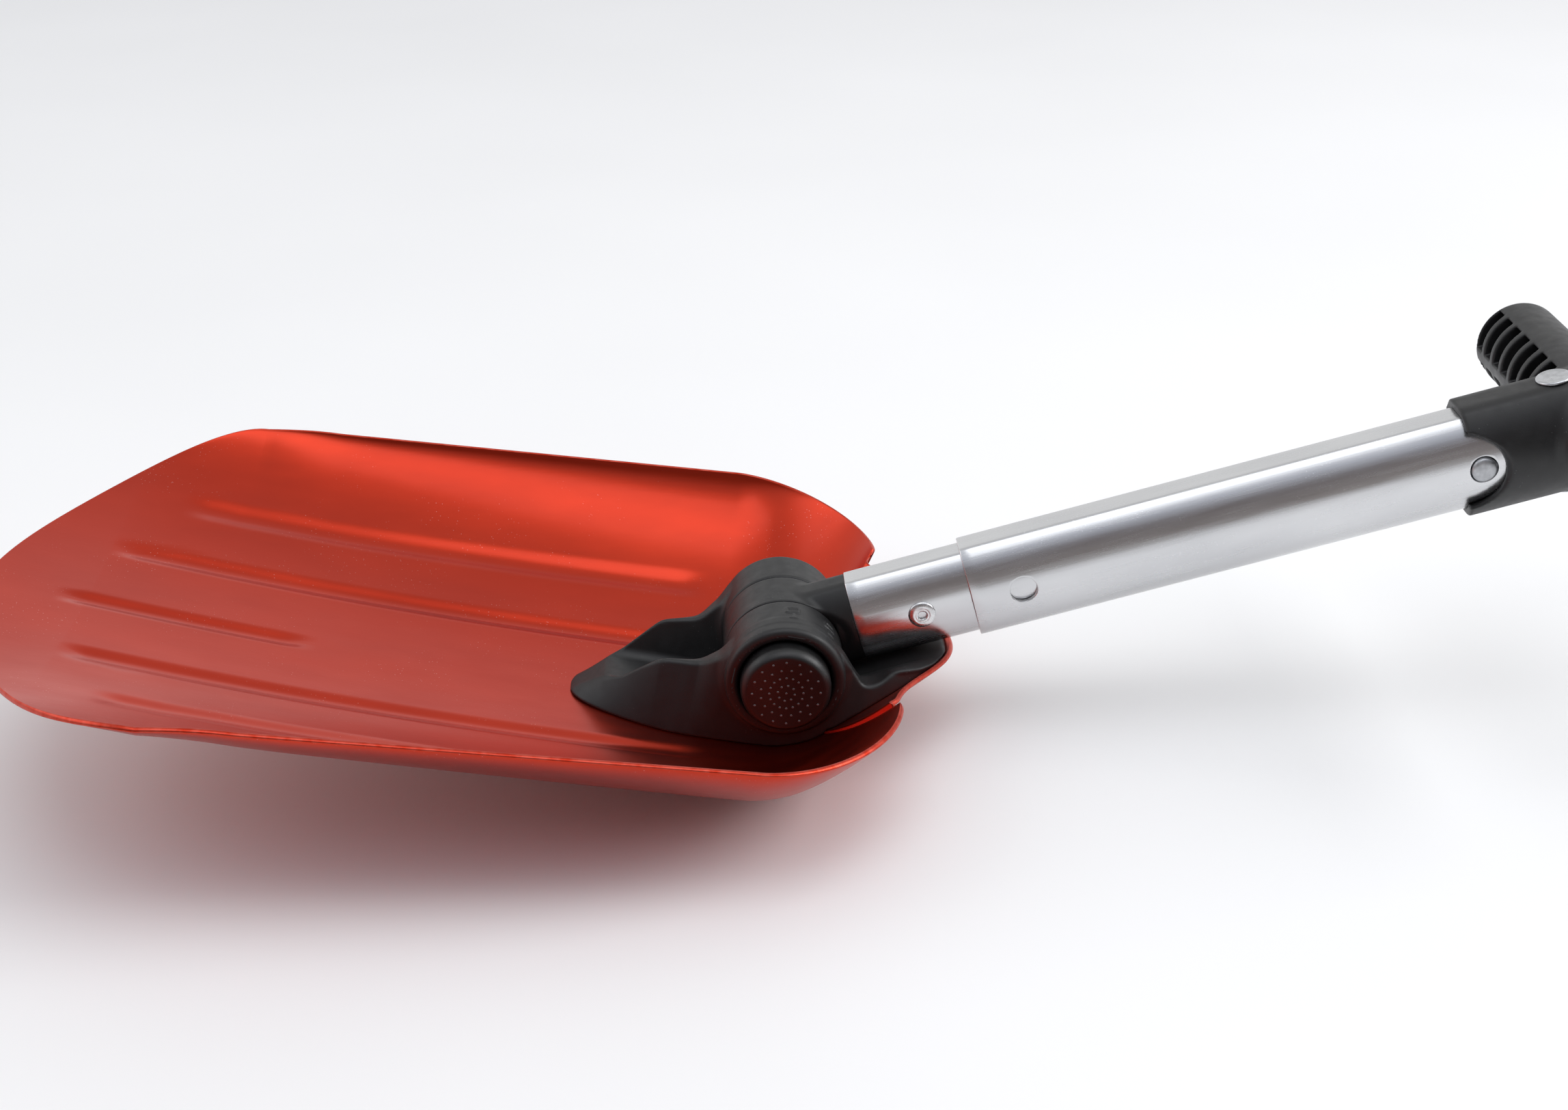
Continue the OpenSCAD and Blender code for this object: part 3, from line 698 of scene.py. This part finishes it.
# Sections with a flat top and bottom and bulging sides: half height, half width, half flat
OUTER_TUBE = (17.0, 13.5, 5.0)
INNER_TUBE = (15.4, 11.9, 4.47)
TUBE_WALL = 1.3
TUBE_OFFSET = 2.3
STUB = (15.15, 11.65, 4.4)
PLUG = (13.8, 10.3, 4.0)
FOLDED_STUB_SPACE = (16.8, 12.2, 4.4)
COLLAR = (20.0, 16.5, 6.0)
SOCKET = (17.02, 13.52, 5.0)


def bulge_radius(section):
    """Radius of a section's bulging sides."""
    half_h, half_w, flat = section
    return (half_h ** 2 + (half_w - flat) ** 2) / (2 * (half_w - flat))


def section_field(y, h, section, rounding):
    half_h, half_w, _ = section
    bulge = bulge_radius(section)
    sides = np.hypot(np.abs(y) + bulge - half_w, h) - bulge
    return cut_round(sides, np.abs(h) - half_h, rounding)


# ---- bracket ------------------------------------------------------------------------

BARREL_R = 20.5
KNUCKLE_HALF = 9.3
LUG_INNER = 9.7
LUG_NEAR = 25.8
LUG_FAR = 26.7
# Ring round the button: middle radius, half thickness, near and far ends
RING = (18.15, 2.35, -31.5, -20)
# Raised marks: places round the near lug and height
MARK_PLACES = (-1.0, 13.5)
MARK_HEIGHT = 0.38
CHANNEL_FLOOR = -20.5
SEAT_FLOOR = -13.9
GEAR_R = 14.8
AXLE_R = 5.1
# Outline of the bracket from the side, X and Z
RIDGE = [(-72, -40), (-70.3, -30.6), (-41.7, -6.6), (-28.7, -4.3), (-19, 5.5), (17, 11), (20.8, 8.0),
         (27.5, 0.9), (32.5, 2.4), (37.4, 7.3), (48.7, 8.8), (55.6, 10.8), (57.5, 9.0), (62, -40)]
# Heights along X at which the flanks have their ridge width and their base width
RIDGE_LINE = [(-70, -29), (-41.7, -6.6), (-28.7, -4.3), (-20, 4), (40, 6), (60, 9)]
FOOT_LINE = [(-70, -30), (5, -29), (45, -9), (60, -3)]
# Half widths along X where the bracket meets the blade and along its ridge
BASE_WIDTH = [(-74, -6), (-71, 0), (-70, 4), (-68, 7.6), (-64, 11.6), (-58, 15.4), (-50, 19.2),
              (-42, 22.4), (-35, 24.6), (-28, 25.6), (0, 27.2), (18, 30.5), (28, 32), (38, 30.5),
              (46, 26), (52, 20), (56, 11), (58, 4), (62, -9)]
RIDGE_WIDTH = [(-74, -3), (-71, 0), (-70, 1), (-55, 8.6), (-41.7, 15.4), (-34, 17), (-28.7, 18.6),
               (-24, 22.6), (-20, 25), (18, 25.6), (28, 25), (38, 23.2), (46, 20.4), (52, 16),
               (56, 9), (58, 3), (62, -9)]
EASING = [(-3, 0.06), (-2, 0.13), (-1, 0.2), (0, 0.22), (1, 0.2), (2, 0.13), (3, 0.06)]


def line_at(points, x):
    """Value at x of the line through points."""
    return np.interp(x, *zip(*points))


def softened(points, x, reach):
    """The same with its corners eased over a reach to each side."""
    return sum(line_at(points, x + reach * step / 3) * weight for step, weight in EASING)


def bracket_block(x, y, z):
    """The bracket without lugs, with its two tube channels, cut to the blade's face."""
    ay = np.abs(y)
    foot_z = line_at(FOOT_LINE, x)
    rise = np.clip((z - foot_z) / (line_at(RIDGE_LINE, x) - foot_z), 0, 1) ** 1.15
    width = mix(softened(BASE_WIDTH, x, 2.4), softened(RIDGE_WIDTH, x, 1.8), rise)
    block = cut_round((ay - width) * 0.86, outline(x, z, rounded(RIDGE, 3.0)), 1.1)
    # front channel for the folded tube, with sloping walls
    walls = (ay - (9.6 + (z - CHANNEL_FLOOR) * 0.318)) * 0.953
    channel = cut_round(cut_round(walls, CHANNEL_FLOOR - z, 3.0), x + 15.0, 1.0)
    block = cut_round(block, -channel, 1.0)
    # rear channel for the tube in its working position, with a dished floor
    along, above = tube_axes(x, z, PITCH)
    floor = SEAT_FLOOR + 0.5 * np.maximum(ay - 13.0, 0)
    seat = cut_round(cut_round(ay - 21.0, (floor - above) * 0.92, 2.5), 16.0 - along, 1.0)
    block = cut_round(block, -seat, 1.0)
    return cut_round(block, (blade_height(x, y) + 0.05 - z) * 0.8, 0.35)


def position_marks(x, y, z, radial):
    """Two plain raised marks on the near lug: a frame, a bar and a cross bar."""
    arc = np.arctan2(x, z) * BARREL_R
    raised = slab(radial, 19.5, BARREL_R + MARK_HEIGHT)
    marks = []
    for middle in MARK_PLACES:
        off = np.abs(arc - middle)
        box = np.abs(np.maximum(off - 2.1, np.abs(y + 16.4) - 1.5)) - 0.38
        bar = np.maximum(off - 0.45, np.abs(y + 20.6) - 1.7)
        cross_bar = np.maximum(off - 1.5, np.abs(y + 22.0) - 0.45)
        marks.append(np.maximum(np.minimum(np.minimum(box, bar), cross_bar), raised))
    return marks


def bracket_field(x, y, z):
    ay = np.abs(y)
    radial = np.sqrt(x * x + z * z)
    near_lug = cut_round(radial - BARREL_R, slab(y, -LUG_NEAR, -LUG_INNER), 0.6)
    far_lug = cut_round(radial - BARREL_R, slab(y, LUG_INNER, LUG_FAR), 1.2)
    body = join_round(bracket_block(x, y, z), np.minimum(near_lug, far_lug), 3.2)
    ring_r, ring_half, ring_near, ring_far = RING
    ring = cut_round(np.abs(radial - ring_r) - ring_half, slab(y, ring_near, ring_far), 2.2)
    body = join_round(body, ring, 0.4)
    for mark in position_marks(x, y, z, radial):
        body = join_round(body, mark, 0.2)
    along, above = tube_axes(x, z, FOLDED)
    stub = section_field(y, above - TUBE_OFFSET, FOLDED_STUB_SPACE, 1.2)
    stub = cut_round(stub, slab(along, 6, 70), 0.3)
    body = cut_round(body, -np.maximum(stub, BARREL_R + 0.25 - radial), 0.3)
    # round spaces: radius, field along the axis, rounding inside and at the mouth
    spaces = [
        (BARREL_R + 0.7, ay - KNUCKLE_HALF - 0.35, 0.2, 0.35),  # knuckle
        (16.0, y + 19.5, 0.3, 0.5),  # button
        (12.2, slab(y, -25, -8), 0.2, 0.2),  # sleeve of the button
        (GEAR_R, slab(y, -16.2, -8), 0.2, 0.2),  # lock gear
        (13.1, 20.3 - y, 0.2, 0.4),  # far cap
        (AXLE_R, slab(y, 5, 22), 0.2, 0.2),  # axle
    ]
    for radius, length, inside, mouth in spaces:
        body = cut_round(body, -cut_round(radial - radius, length, inside), mouth)
    return body


net_piece("bracket", bracket_field, (-73, -33, -34), (60, 29, 23), 0.5,
          from_blade, "blade", BRACKET_BLACK, ["hinge_bracket"])


# ---- knuckle ------------------------------------------------------------------------

RIVET_T = 50.2


def knuckle_field(x, y, z):
    ay = np.abs(y)
    h = z - TUBE_OFFSET
    radial = np.sqrt(x * x + z * z)
    barrel = cut_round(radial - BARREL_R, ay - KNUCKLE_HALF, 0.6)
    stub = cut_round(section_field(y, h, STUB, 1.2), slab(x, 7, 27.2), 0.3)
    flare = ay - (KNUCKLE_HALF + np.clip((radial - 21.0) * 0.5, 0, 2.4))
    solid = join_round(barrel, cut_round(stub, flare * 0.9, 0.5), 1.6)
    # nothing wider than the knuckle between the lugs
    solid = cut_round(solid, -np.maximum(radial - 20.9, KNUCKLE_HALF - ay), 0.2)
    plug = cut_round(section_field(y, h, PLUG, 0.8), slab(x, 20, 63.5), 1.0)
    solid = np.minimum(solid, plug)
    solid = cut_round(solid, -cut_round(radial - GEAR_R, slab(y, -12, 6.5), 0.2), 0.2)
    solid = cut_round(solid, AXLE_R - radial, 0.2)
    return cut_round(solid, 2.5 - np.hypot(x - RIVET_T, h), 0.2)


net_piece("hinge_knuckle_skin", knuckle_field, (-22, -13, -22), (65, 13, 22), 0.5,
          from_shaft, "shaft", BRACKET_BLACK, ["hinge_knuckle"])


# ---- tubes --------------------------------------------------------------------------

NEAR_HOLE = 86.0
FAR_HOLE = 245.4
CREASE = 0.9
# Each hole lies in a square patch of even cells, this far to each side of its middle
HOLE_PATCH = 7.0
HOLE_CELLS = 14
PATCH_RINGS = 6
# Rounded tube end, from outside to inside: distance from the end, depth in the wall
END_CURVE = [(0.12, 0.12), (0.0, 0.45), (0.0, TUBE_WALL - 0.3), (0.2, TUBE_WALL - 0.05)]
END_LENGTH = 0.4


def section_curve(section):
    """One round of a section as (y, h) points, their outward normals, and the number of the
    point at the middle of the near side."""
    half_h, half_w, flat = section
    bulge = bulge_radius(section)
    patch = HOLE_PATCH / bulge
    reach = math.asin(half_h / bulge) - CREASE / bulge
    angles = [*np.linspace(0, patch, HOLE_CELLS // 2 + 1), *np.linspace(patch, reach, 10)[1:]]
    quarter = [(bulge - half_w - bulge * math.cos(a), bulge * math.sin(a)) for a in angles]
    normals = [(-math.cos(a), math.sin(a)) for a in angles]
    end, corner = np.array(quarter[-1]), np.array([-flat, half_h])
    start = corner + [CREASE, 0]
    side_normal, top_normal = np.array(normals[-1]), np.array([0.0, 1.0])
    for t in np.linspace(0, 1, 6)[1:]:
        quarter.append(eased(end, corner, start, t))
        normals.append(unit(mix(side_normal, top_normal, t)))
    for y in np.linspace(CREASE - flat, 0, 4)[1:]:
        quarter.append((y, half_h))
        normals.append(top_normal)
    quarter, normals = np.array(quarter), np.array(normals)
    rounds = []
    for upper in (quarter, normals):
        near = np.concatenate([upper[:0:-1] * [1, -1], upper])
        rounds.append(np.concatenate([near, near[-2:0:-1] * [-1, 1]]))
    return *rounds, len(quarter) - 1


def surface_point(section, t, s, depth):
    """A point on the near bulging side, s along it from the middle, below the outside."""
    _, half_w, _ = section
    bulge = bulge_radius(section)
    r = bulge - depth
    angle = s / bulge
    return (t, bulge - half_w - r * math.cos(angle), r * math.sin(angle) + TUBE_OFFSET)


def tube_mesh(name, section, start, end, holes, hole_r):
    """A tube with rounded ends and holes in its near side, as one closed surface."""
    curve, normals, middle = section_curve(section)
    count = len(curve)
    first_cell = middle - HOLE_CELLS // 2
    steps = np.linspace(-HOLE_PATCH, HOLE_PATCH, HOLE_CELLS + 1)
    stations = {start + END_LENGTH, end - END_LENGTH}
    for hole in holes:
        stations |= set(np.round(hole + steps, 4))
    for t in np.arange(start + 4, end - 3, 6.0):
        if all(abs(t - hole) > HOLE_PATCH + 1.5 for hole in holes):
            stations.add(float(t))
    stations = sorted(stations)
    rows = [(t, 0.0) for t in stations]
    rows += [(end - inset, depth) for inset, depth in END_CURVE]
    inner_first = len(rows)
    rows += [(t, TUBE_WALL) for t in stations[::-1]]
    rows += [(start + inset, depth) for inset, depth in END_CURVE[::-1]]
    points = []
    for t, depth in rows:
        points += [(t, y, h + TUBE_OFFSET) for y, h in curve - normals * depth]

    def in_patch(row, following, i):
        level = row[1] == following[1]
        beside = any(abs((row[0] + following[0]) / 2 - hole) < HOLE_PATCH for hole in holes)
        return level and beside and first_cell <= i < first_cell + HOLE_CELLS

    faces = []
    for k, row in enumerate(rows):
        k2 = (k + 1) % len(rows)
        for i in range(count):
            j = (i + 1) % count
            if not in_patch(row, rows[k2], i):
                faces.append((k * count + i, k2 * count + i, k2 * count + j, k * count + j))

    def add_ring(hole, spots, depth):
        first = len(points)
        points.extend(surface_point(section, hole + u, v, depth) for u, v in spots)
        return list(range(first, len(points)))

    # grid steps round the edge of a patch
    span = range(HOLE_CELLS)
    walk = [(a, 0) for a in span] + [(HOLE_CELLS, b) for b in span]
    walk += [(HOLE_CELLS - a, HOLE_CELLS) for a in span]
    walk += [(0, HOLE_CELLS - b) for b in span]
    square = [(steps[a], steps[b]) for a, b in walk]
    bearings = [math.atan2(v, u) for u, v in square]

    def circle(radius):
        return [(radius * math.cos(a), radius * math.sin(a)) for a in bearings]

    for hole in holes:
        rims = []
        for depth, base, edge_r in ((0.0, 0, hole_r + 0.25), (TUBE_WALL, inner_first, hole_r)):
            number = {round(rows[base + k][0], 3): base + k for k in range(len(stations))}
            columns = [number[round(hole + step, 3)] for step in steps]
            rings = [[columns[a] * count + first_cell + b for a, b in walk]]
            for k in range(1, PATCH_RINGS + 1):
                share = k / PATCH_RINGS
                spots = [(mix(u, cu, share), mix(v, cv, share))
                         for (u, v), (cu, cv) in zip(square, circle(edge_r))]
                rings.append(add_ring(hole, spots, depth))
            faces += bridged(rings)
            rims.append(rings[-1])
        bore = [add_ring(hole, circle(hole_r + 0.07), 0.07), add_ring(hole, circle(hole_r), 0.25)]
        faces += bridged([rims[0], *bore, rims[1]])
    mesh = bpy.data.meshes.new(name)
    mesh.from_pydata(from_shaft(np.array(points)).tolist(), [], faces)
    clean(mesh)
    return mesh


outer_tube = tube_mesh("outer_tube_skin", OUTER_TUBE, 68.0, 280.0, [NEAR_HOLE, FAR_HOLE], 4.75)
add_piece("outer_tube_skin", outer_tube, "handle", [TUBE], ["outer_tube"])
inner_tube = tube_mesh("inner_tube_skin", INNER_TUBE, 27.0, 262.0, [FAR_HOLE], 4.6)
add_piece("inner_tube_skin", inner_tube, "shaft", [TUBE], ["inner_tube"])


# ---- grip ---------------------------------------------------------------------------

GRIP_T = 288.4
GRIP_R = 15.6
GRIP_HALF = 81.0
SLOT_PITCH = 9.0
SLOT_FIRST = 22.0
SLOT_LAST = 6
SLOT_HALF = 3.0
# A slot seen along the bar, and half of the collar seen from the side
SLOT_SIDE = [(-20, 2.4), (3, 2.4), (3, 10.5), (-5.3, 14.66), (-20, 14.66)]
COLLAR_START = 239.5
COLLAR_SIDE = [(COLLAR_START, -30), (COLLAR_START, 20.5), (282.5, 20.5), (288, 18.4), (293, 15.4),
               (298, 11.5), (298, -30)]
NOTCH_R = 14.0


def grip_bar(y, t, h):
    """The crossbar, with two rows of slots on the side towards the blade."""
    ay = np.abs(y)
    bar = cut_round(np.sqrt(t * t + h * h) - GRIP_R, ay - GRIP_HALF, 3.0)
    number = np.clip(np.round((ay - SLOT_FIRST) / SLOT_PITCH), 0, SLOT_LAST)
    across = np.abs(ay - SLOT_FIRST - number * SLOT_PITCH) - SLOT_HALF
    slots = cut_round(across, outline(t, np.abs(h), rounded(SLOT_SIDE, 1.2)), 0.6)
    return cut_round(bar, -slots, 0.55)


def grip_collar(x, y, h):
    """The collar over the tube, with a U notch and a shallow oval recess on each side."""
    ay = np.abs(y)
    lean = np.clip((270 - x) / 30, 0, 1) * np.clip((h - 2) / 14, 0, 1) * 3
    side_view = outline(x - lean, np.abs(h), rounded(COLLAR_SIDE, 1.2))
    collar = cut_round(section_field(y, h, COLLAR, 1.6), side_view, 0.8)
    notch = np.hypot(np.maximum(x - (COLLAR_START - 0.8), 0), h) - NOTCH_R
    bevel = notch - np.clip(ay - 14.2, 0, 3) * 0.55
    collar = cut_round(collar, -bevel * 0.9, 0.5)
    oval = (np.hypot((x - 290.0) / 18.0, (h + 0.5) / 11.0) - 1.0) * 11.0
    return cut_round(collar, -cut_round(oval, 15.7 - ay, 0.3), 0.4)


def grip_field(x, y, z):
    h = z - TUBE_OFFSET
    solid = join_round(grip_collar(x, y, h), grip_bar(y, x - GRIP_T, h), 5.0)
    socket = cut_round(section_field(y, h, SOCKET, 0.8), slab(x, 200, 280.3), 0.2)
    return cut_round(solid, -socket, 0.3)


net_piece("tee_grip_skin", grip_field, (237, -83, -20), (306, 83, 25), 0.62,
          from_shaft, "handle", GRIP_BLACK, ["tee_grip"])


# ---- button ---------------------------------------------------------------------------

BUTTON_FACE = -38.1
# Button cap and sleeve: radius, and distance behind the face
BUTTON_CAP = [(0, 0.12), (9, 0.06), (12.6, 0.10), (13.2, 0.14), (13.6, 0.30), (14.1, 0.72),
              (14.6, 1.30), (15.0, 2.0), (15.3, 2.9), (15.4, 3.8), (15.4, 10.9), (15.2, 11.1),
              (13.4, 11.1), (13.2, 10.9), (13.2, 4.1), (10.1, 3.9), (10.0, 4.2), (10.0, 22.1),
              (9.8, 22.2), (5.4, 22.2), (5.3, 22.0), (5.3, 4.3), (0, 4.1)]
# Rings of dots: radius, number of dots, turn in degrees
DOT_RINGS = [(0.0, 1, 0.0), (2.88, 8, 0.0), (5.76, 16, 11.25), (8.64, 16, 0.0), (11.52, 16, 11.25)]
DOT_R = 0.42
DOT_SIDES = 12
# A dot from its buried end to its top: share of its radius, distance behind the face
DOT_CURVE = [(1.0, 0.33), (1.0, 0.02), (0.85, -0.07), (0.5, -0.12)]


def dot_mesh():
    """The raised dots on the button, each a small closed dome."""
    around = round_angles(DOT_SIDES)
    points = []
    faces = []
    for ring_r, count, turn in DOT_RINGS:
        for bearing in round_angles(count) + math.radians(turn):
            rings = []
            for share, level in DOT_CURVE:
                x = ring_r * math.cos(bearing) + DOT_R * share * np.cos(around)
                z = ring_r * math.sin(bearing) + DOT_R * share * np.sin(around)
                rings.append(list(range(len(points), len(points) + DOT_SIDES)))
                points += zip(x, np.full(DOT_SIDES, BUTTON_FACE + level), z)
            faces += bridged(rings) + [rings[0], rings[-1]]
    mesh = bpy.data.meshes.new("button_dots_painted_highlight")
    mesh.from_pydata(from_blade(points).tolist(), [], faces)
    # Every face of the dots takes the second material, the pale grey painted highlight.
    mesh.polygons.foreach_set("material_index", np.ones(len(faces), np.int32))
    clean(mesh)
    return mesh


cap = spun("button_cap", [(r, BUTTON_FACE + level) for r, level in BUTTON_CAP], from_blade, 128)
add_piece("push_button_skin", joined("push_button_skin", [cap, dot_mesh()]), "button",
          [BUTTON_BLACK, DOT_HIGHLIGHT_GREY], ["push_button"])


# ---- rivets and small parts -------------------------------------------------------------


def facing(t, side, surface):
    """Places a spun piece on one side of the shaft; its negative levels stand proud."""

    def place(points):
        x, y, z = points.T
        return from_shaft(np.stack([x + t, side * (surface - y), z + TUBE_OFFSET], -1))

    return place


def on_top(t, level, up):
    """Places a spun piece on the shaft's top, or on its underside for an up of -1."""

    def place(points):
        x, y, z = points.T
        return from_shaft(np.stack([x + t, y, z * up + level], -1))

    return place


# Blind rivet with an open bore
BLIND = [(0, 4.6), (1.3, 4.6), (1.4, 0.2), (1.5, -0.75), (1.75, -0.95), (2.3, -0.98), (2.5, -0.90),
         (2.6, -0.98), (3.2, -0.93), (3.9, -0.78), (4.4, -0.52), (4.66, -0.26), (4.75, -0.05),
         (4.7, 0.05), (2.45, 0.1), (2.4, 0.3), (2.4, 5.0), (0, 5.0)]
BORE_R = 1.4
rivet_centre = from_shaft([RIVET_T, 0, TUBE_OFFSET])[0]
blind = joined("stub_rivets_skin", [spun(f"blind_{side}", BLIND, facing(RIVET_T, side, INNER_TUBE[1]), 64)
                                    for side in (-1, 1)])
# Faces inside the bore take the black plastic, a painted shade for the dark bore of each rivet.
for face in blind.polygons:
    if math.dist(face.center.xz, rivet_centre[[0, 2]]) < BORE_R * MM and abs(face.center.y) > 8 * MM:
        face.material_index = 1
add_piece("stub_rivets_skin", blind, "shaft", [RIVET, BUTTON_BLACK], ["stub_rivets"])

SNAP = [(0, -1.25), (1.6, -1.22), (2.8, -1.08), (3.6, -0.82), (4.1, -0.45), (4.36, 0.0), (4.42, 0.6),
        (4.42, 3.4), (5.6, 3.5), (5.7, 3.7), (5.7, 4.9), (5.5, 5.1), (0, 5.1)]
snap = spun("snap_button_skin", SNAP, facing(FAR_HOLE, -1, OUTER_TUBE[1]), 72)
add_piece("snap_button_skin", snap, "snap", [ZINC], ["snap_button"])

# Rivet through the collar: its head on top, its spread tail below
GRIP_RIVET_T = 276.0
HEAD = [(0, 0.78), (4.2, 0.80), (5.0, 0.92), (5.35, 0.95), (5.7, 0.82), (5.95, 0.5), (6.0, 0.25),
        (5.9, 0.0), (2.6, -0.05), (2.5, -0.2), (2.5, -20.3), (2.3, -20.5), (0, -20.5)]
TAIL = [(0, 1.15), (2.4, 1.15), (2.6, 1.0), (4.4, 1.0), (5.2, 0.85), (5.8, 0.5), (6.0, 0.15),
        (5.9, 0.0), (2.6, -0.02), (2.5, -0.2), (2.5, -20.4), (0, -20.4)]
head = spun("grip_rivet_skin", HEAD, on_top(GRIP_RIVET_T, TUBE_OFFSET + COLLAR[0], 1), 72, "z")
add_piece("grip_rivet_skin", head, "handle", [STEEL], ["grip_rivet"])
tail = spun("rivet_caps_skin", TAIL, on_top(GRIP_RIVET_T, TUBE_OFFSET - COLLAR[0], -1), 72, "z")
add_piece("rivet_caps_skin", tail, "handle", [STEEL], ["rivet_caps"])

FAR_CAP = [(0, 26.3), (8.6, 26.35), (9.1, 26.1), (9.6, 26.1), (10.1, 26.5), (11.6, 26.7), (12.3, 26.6),
           (12.7, 26.3), (12.8, 25.9), (12.8, 22.6), (12.6, 22.4), (10.7, 22.4), (10.5, 22.6),
           (10.5, 25.0), (0, 25.1)]
far_cap = spun("far_cap_skin", FAR_CAP, from_blade, 96)
add_piece("far_cap_skin", far_cap, "blade", [BUTTON_BLACK], ["far_cap"])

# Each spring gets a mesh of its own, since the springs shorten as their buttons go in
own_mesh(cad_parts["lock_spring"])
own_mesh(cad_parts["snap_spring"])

FINISH = {"bracket_rivets": RIVET, "tube_glide": GRIP_BLACK}
for node_name, node_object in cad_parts.items():
    for material_slot in node_object.material_slots:
        material_slot.material = FINISH.get(node_name, STEEL)


# ---- camera, light and floor ----------------------------------------------------------

CAMERA_FROM_HINGE = np.array([-21.7, -686.6, 360.1]) * MM
CAMERA_RIGHT = Vector((0.9991, -0.0400, -0.0140))
CAMERA_UP = Vector((0.0298, 0.4287, 0.9030))
camera_data = bpy.data.cameras.new("camera")
camera_data.sensor_width = 36.0
camera_data.lens = 50.69
camera_data.clip_start = 0.02
camera = bpy.data.objects.new("camera", camera_data)
bpy.context.scene.collection.objects.link(camera)
right = CAMERA_RIGHT.normalized()
back = right.cross(CAMERA_UP).normalized()
pose = Matrix((right, back.cross(right), back)).transposed().to_4x4()
pose.translation = Vector(HINGE + CAMERA_FROM_HINGE)
camera.matrix_world = pose
bpy.context.scene.camera = camera


def soft_light(name, place, size, power, colour=(1, 1, 1)):
    """A rectangular light that faces the object."""
    data = bpy.data.lights.new(name, "AREA")
    data.shape = "RECTANGLE"
    data.size, data.size_y = size
    data.energy = power
    data.color = colour
    light = bpy.data.objects.new(name, data)
    light.location = place
    light.rotation_euler = (-Vector(place)).to_track_quat("-Z", "Y").to_euler()
    bpy.context.scene.collection.objects.link(light)


soft_light("overhead", (0.1, -0.25, 1.7), (1.6, 0.9), 5.5, (0.97, 0.985, 1.0))
soft_light("left", (-2.0, 0.3, 1.3), (1.4, 1.4), 6)
soft_light("right", (2.0, 0.0, 1.3), (1.2, 1.4), 26)

# Brightness of the studio by angle: 0 level behind the camera, 90 overhead, 180 at the back
STUDIO = [(0, (0.26, 0.235, 0.225)), (34, (0.15, 0.13, 0.13)), (50, (0.46, 0.48, 0.54)),
          (64, (0.64, 0.66, 0.71)), (100, (0.60, 0.61, 0.64)), (118, grey(0.60)), (140, grey(0.66)),
          (152, grey(0.80)), (180, grey(0.84))]


def studio():
    """A world seen along its depth: dark round the camera, bright overhead, pale at the back."""
    world = bpy.data.worlds.new("studio")
    bpy.context.scene.world = world
    world.use_nodes = True
    tree = world.node_tree

    def calculated(operation, first, second):
        node = tree.nodes.new("ShaderNodeMath")
        node.operation = operation
        for socket, value in zip(node.inputs, (first, second)):
            if isinstance(value, float):
                socket.default_value = value
            else:
                tree.links.new(value, socket)
        return node.outputs[0]

    split = tree.nodes.new("ShaderNodeSeparateXYZ")
    tree.links.new(tree.nodes.new("ShaderNodeTexCoord").outputs["Generated"], split.inputs[0])
    towards_camera = calculated("MULTIPLY", split.outputs["Y"], -1.0)
    angle = calculated("ARCTAN2", split.outputs["Z"], towards_camera)
    ramp = tree.nodes.new("ShaderNodeValToRGB")
    fill_ramp(ramp, [(degrees / 180, colour) for degrees, colour in STUDIO])
    tree.links.new(calculated("DIVIDE", angle, math.pi), ramp.inputs[0])
    tree.links.new(ramp.outputs[0], tree.nodes["Background"].inputs["Color"])


studio()

FLOOR_R = 6.0
FLOOR_Z = -0.1 * MM
floor_mesh = bpy.data.meshes.new("floor")
floor_rim = [(FLOOR_R * math.cos(a), FLOOR_R * math.sin(a), FLOOR_Z) for a in round_angles(64)]
floor_mesh.from_pydata(floor_rim, [], [range(len(floor_rim))])
floor_mesh.materials.append(pale_floor())
floor = bpy.data.objects.new("floor", floor_mesh)
bpy.context.scene.collection.objects.link(floor)

view = bpy.context.scene.view_settings
view.view_transform = "Standard"
view.exposure = 0.13
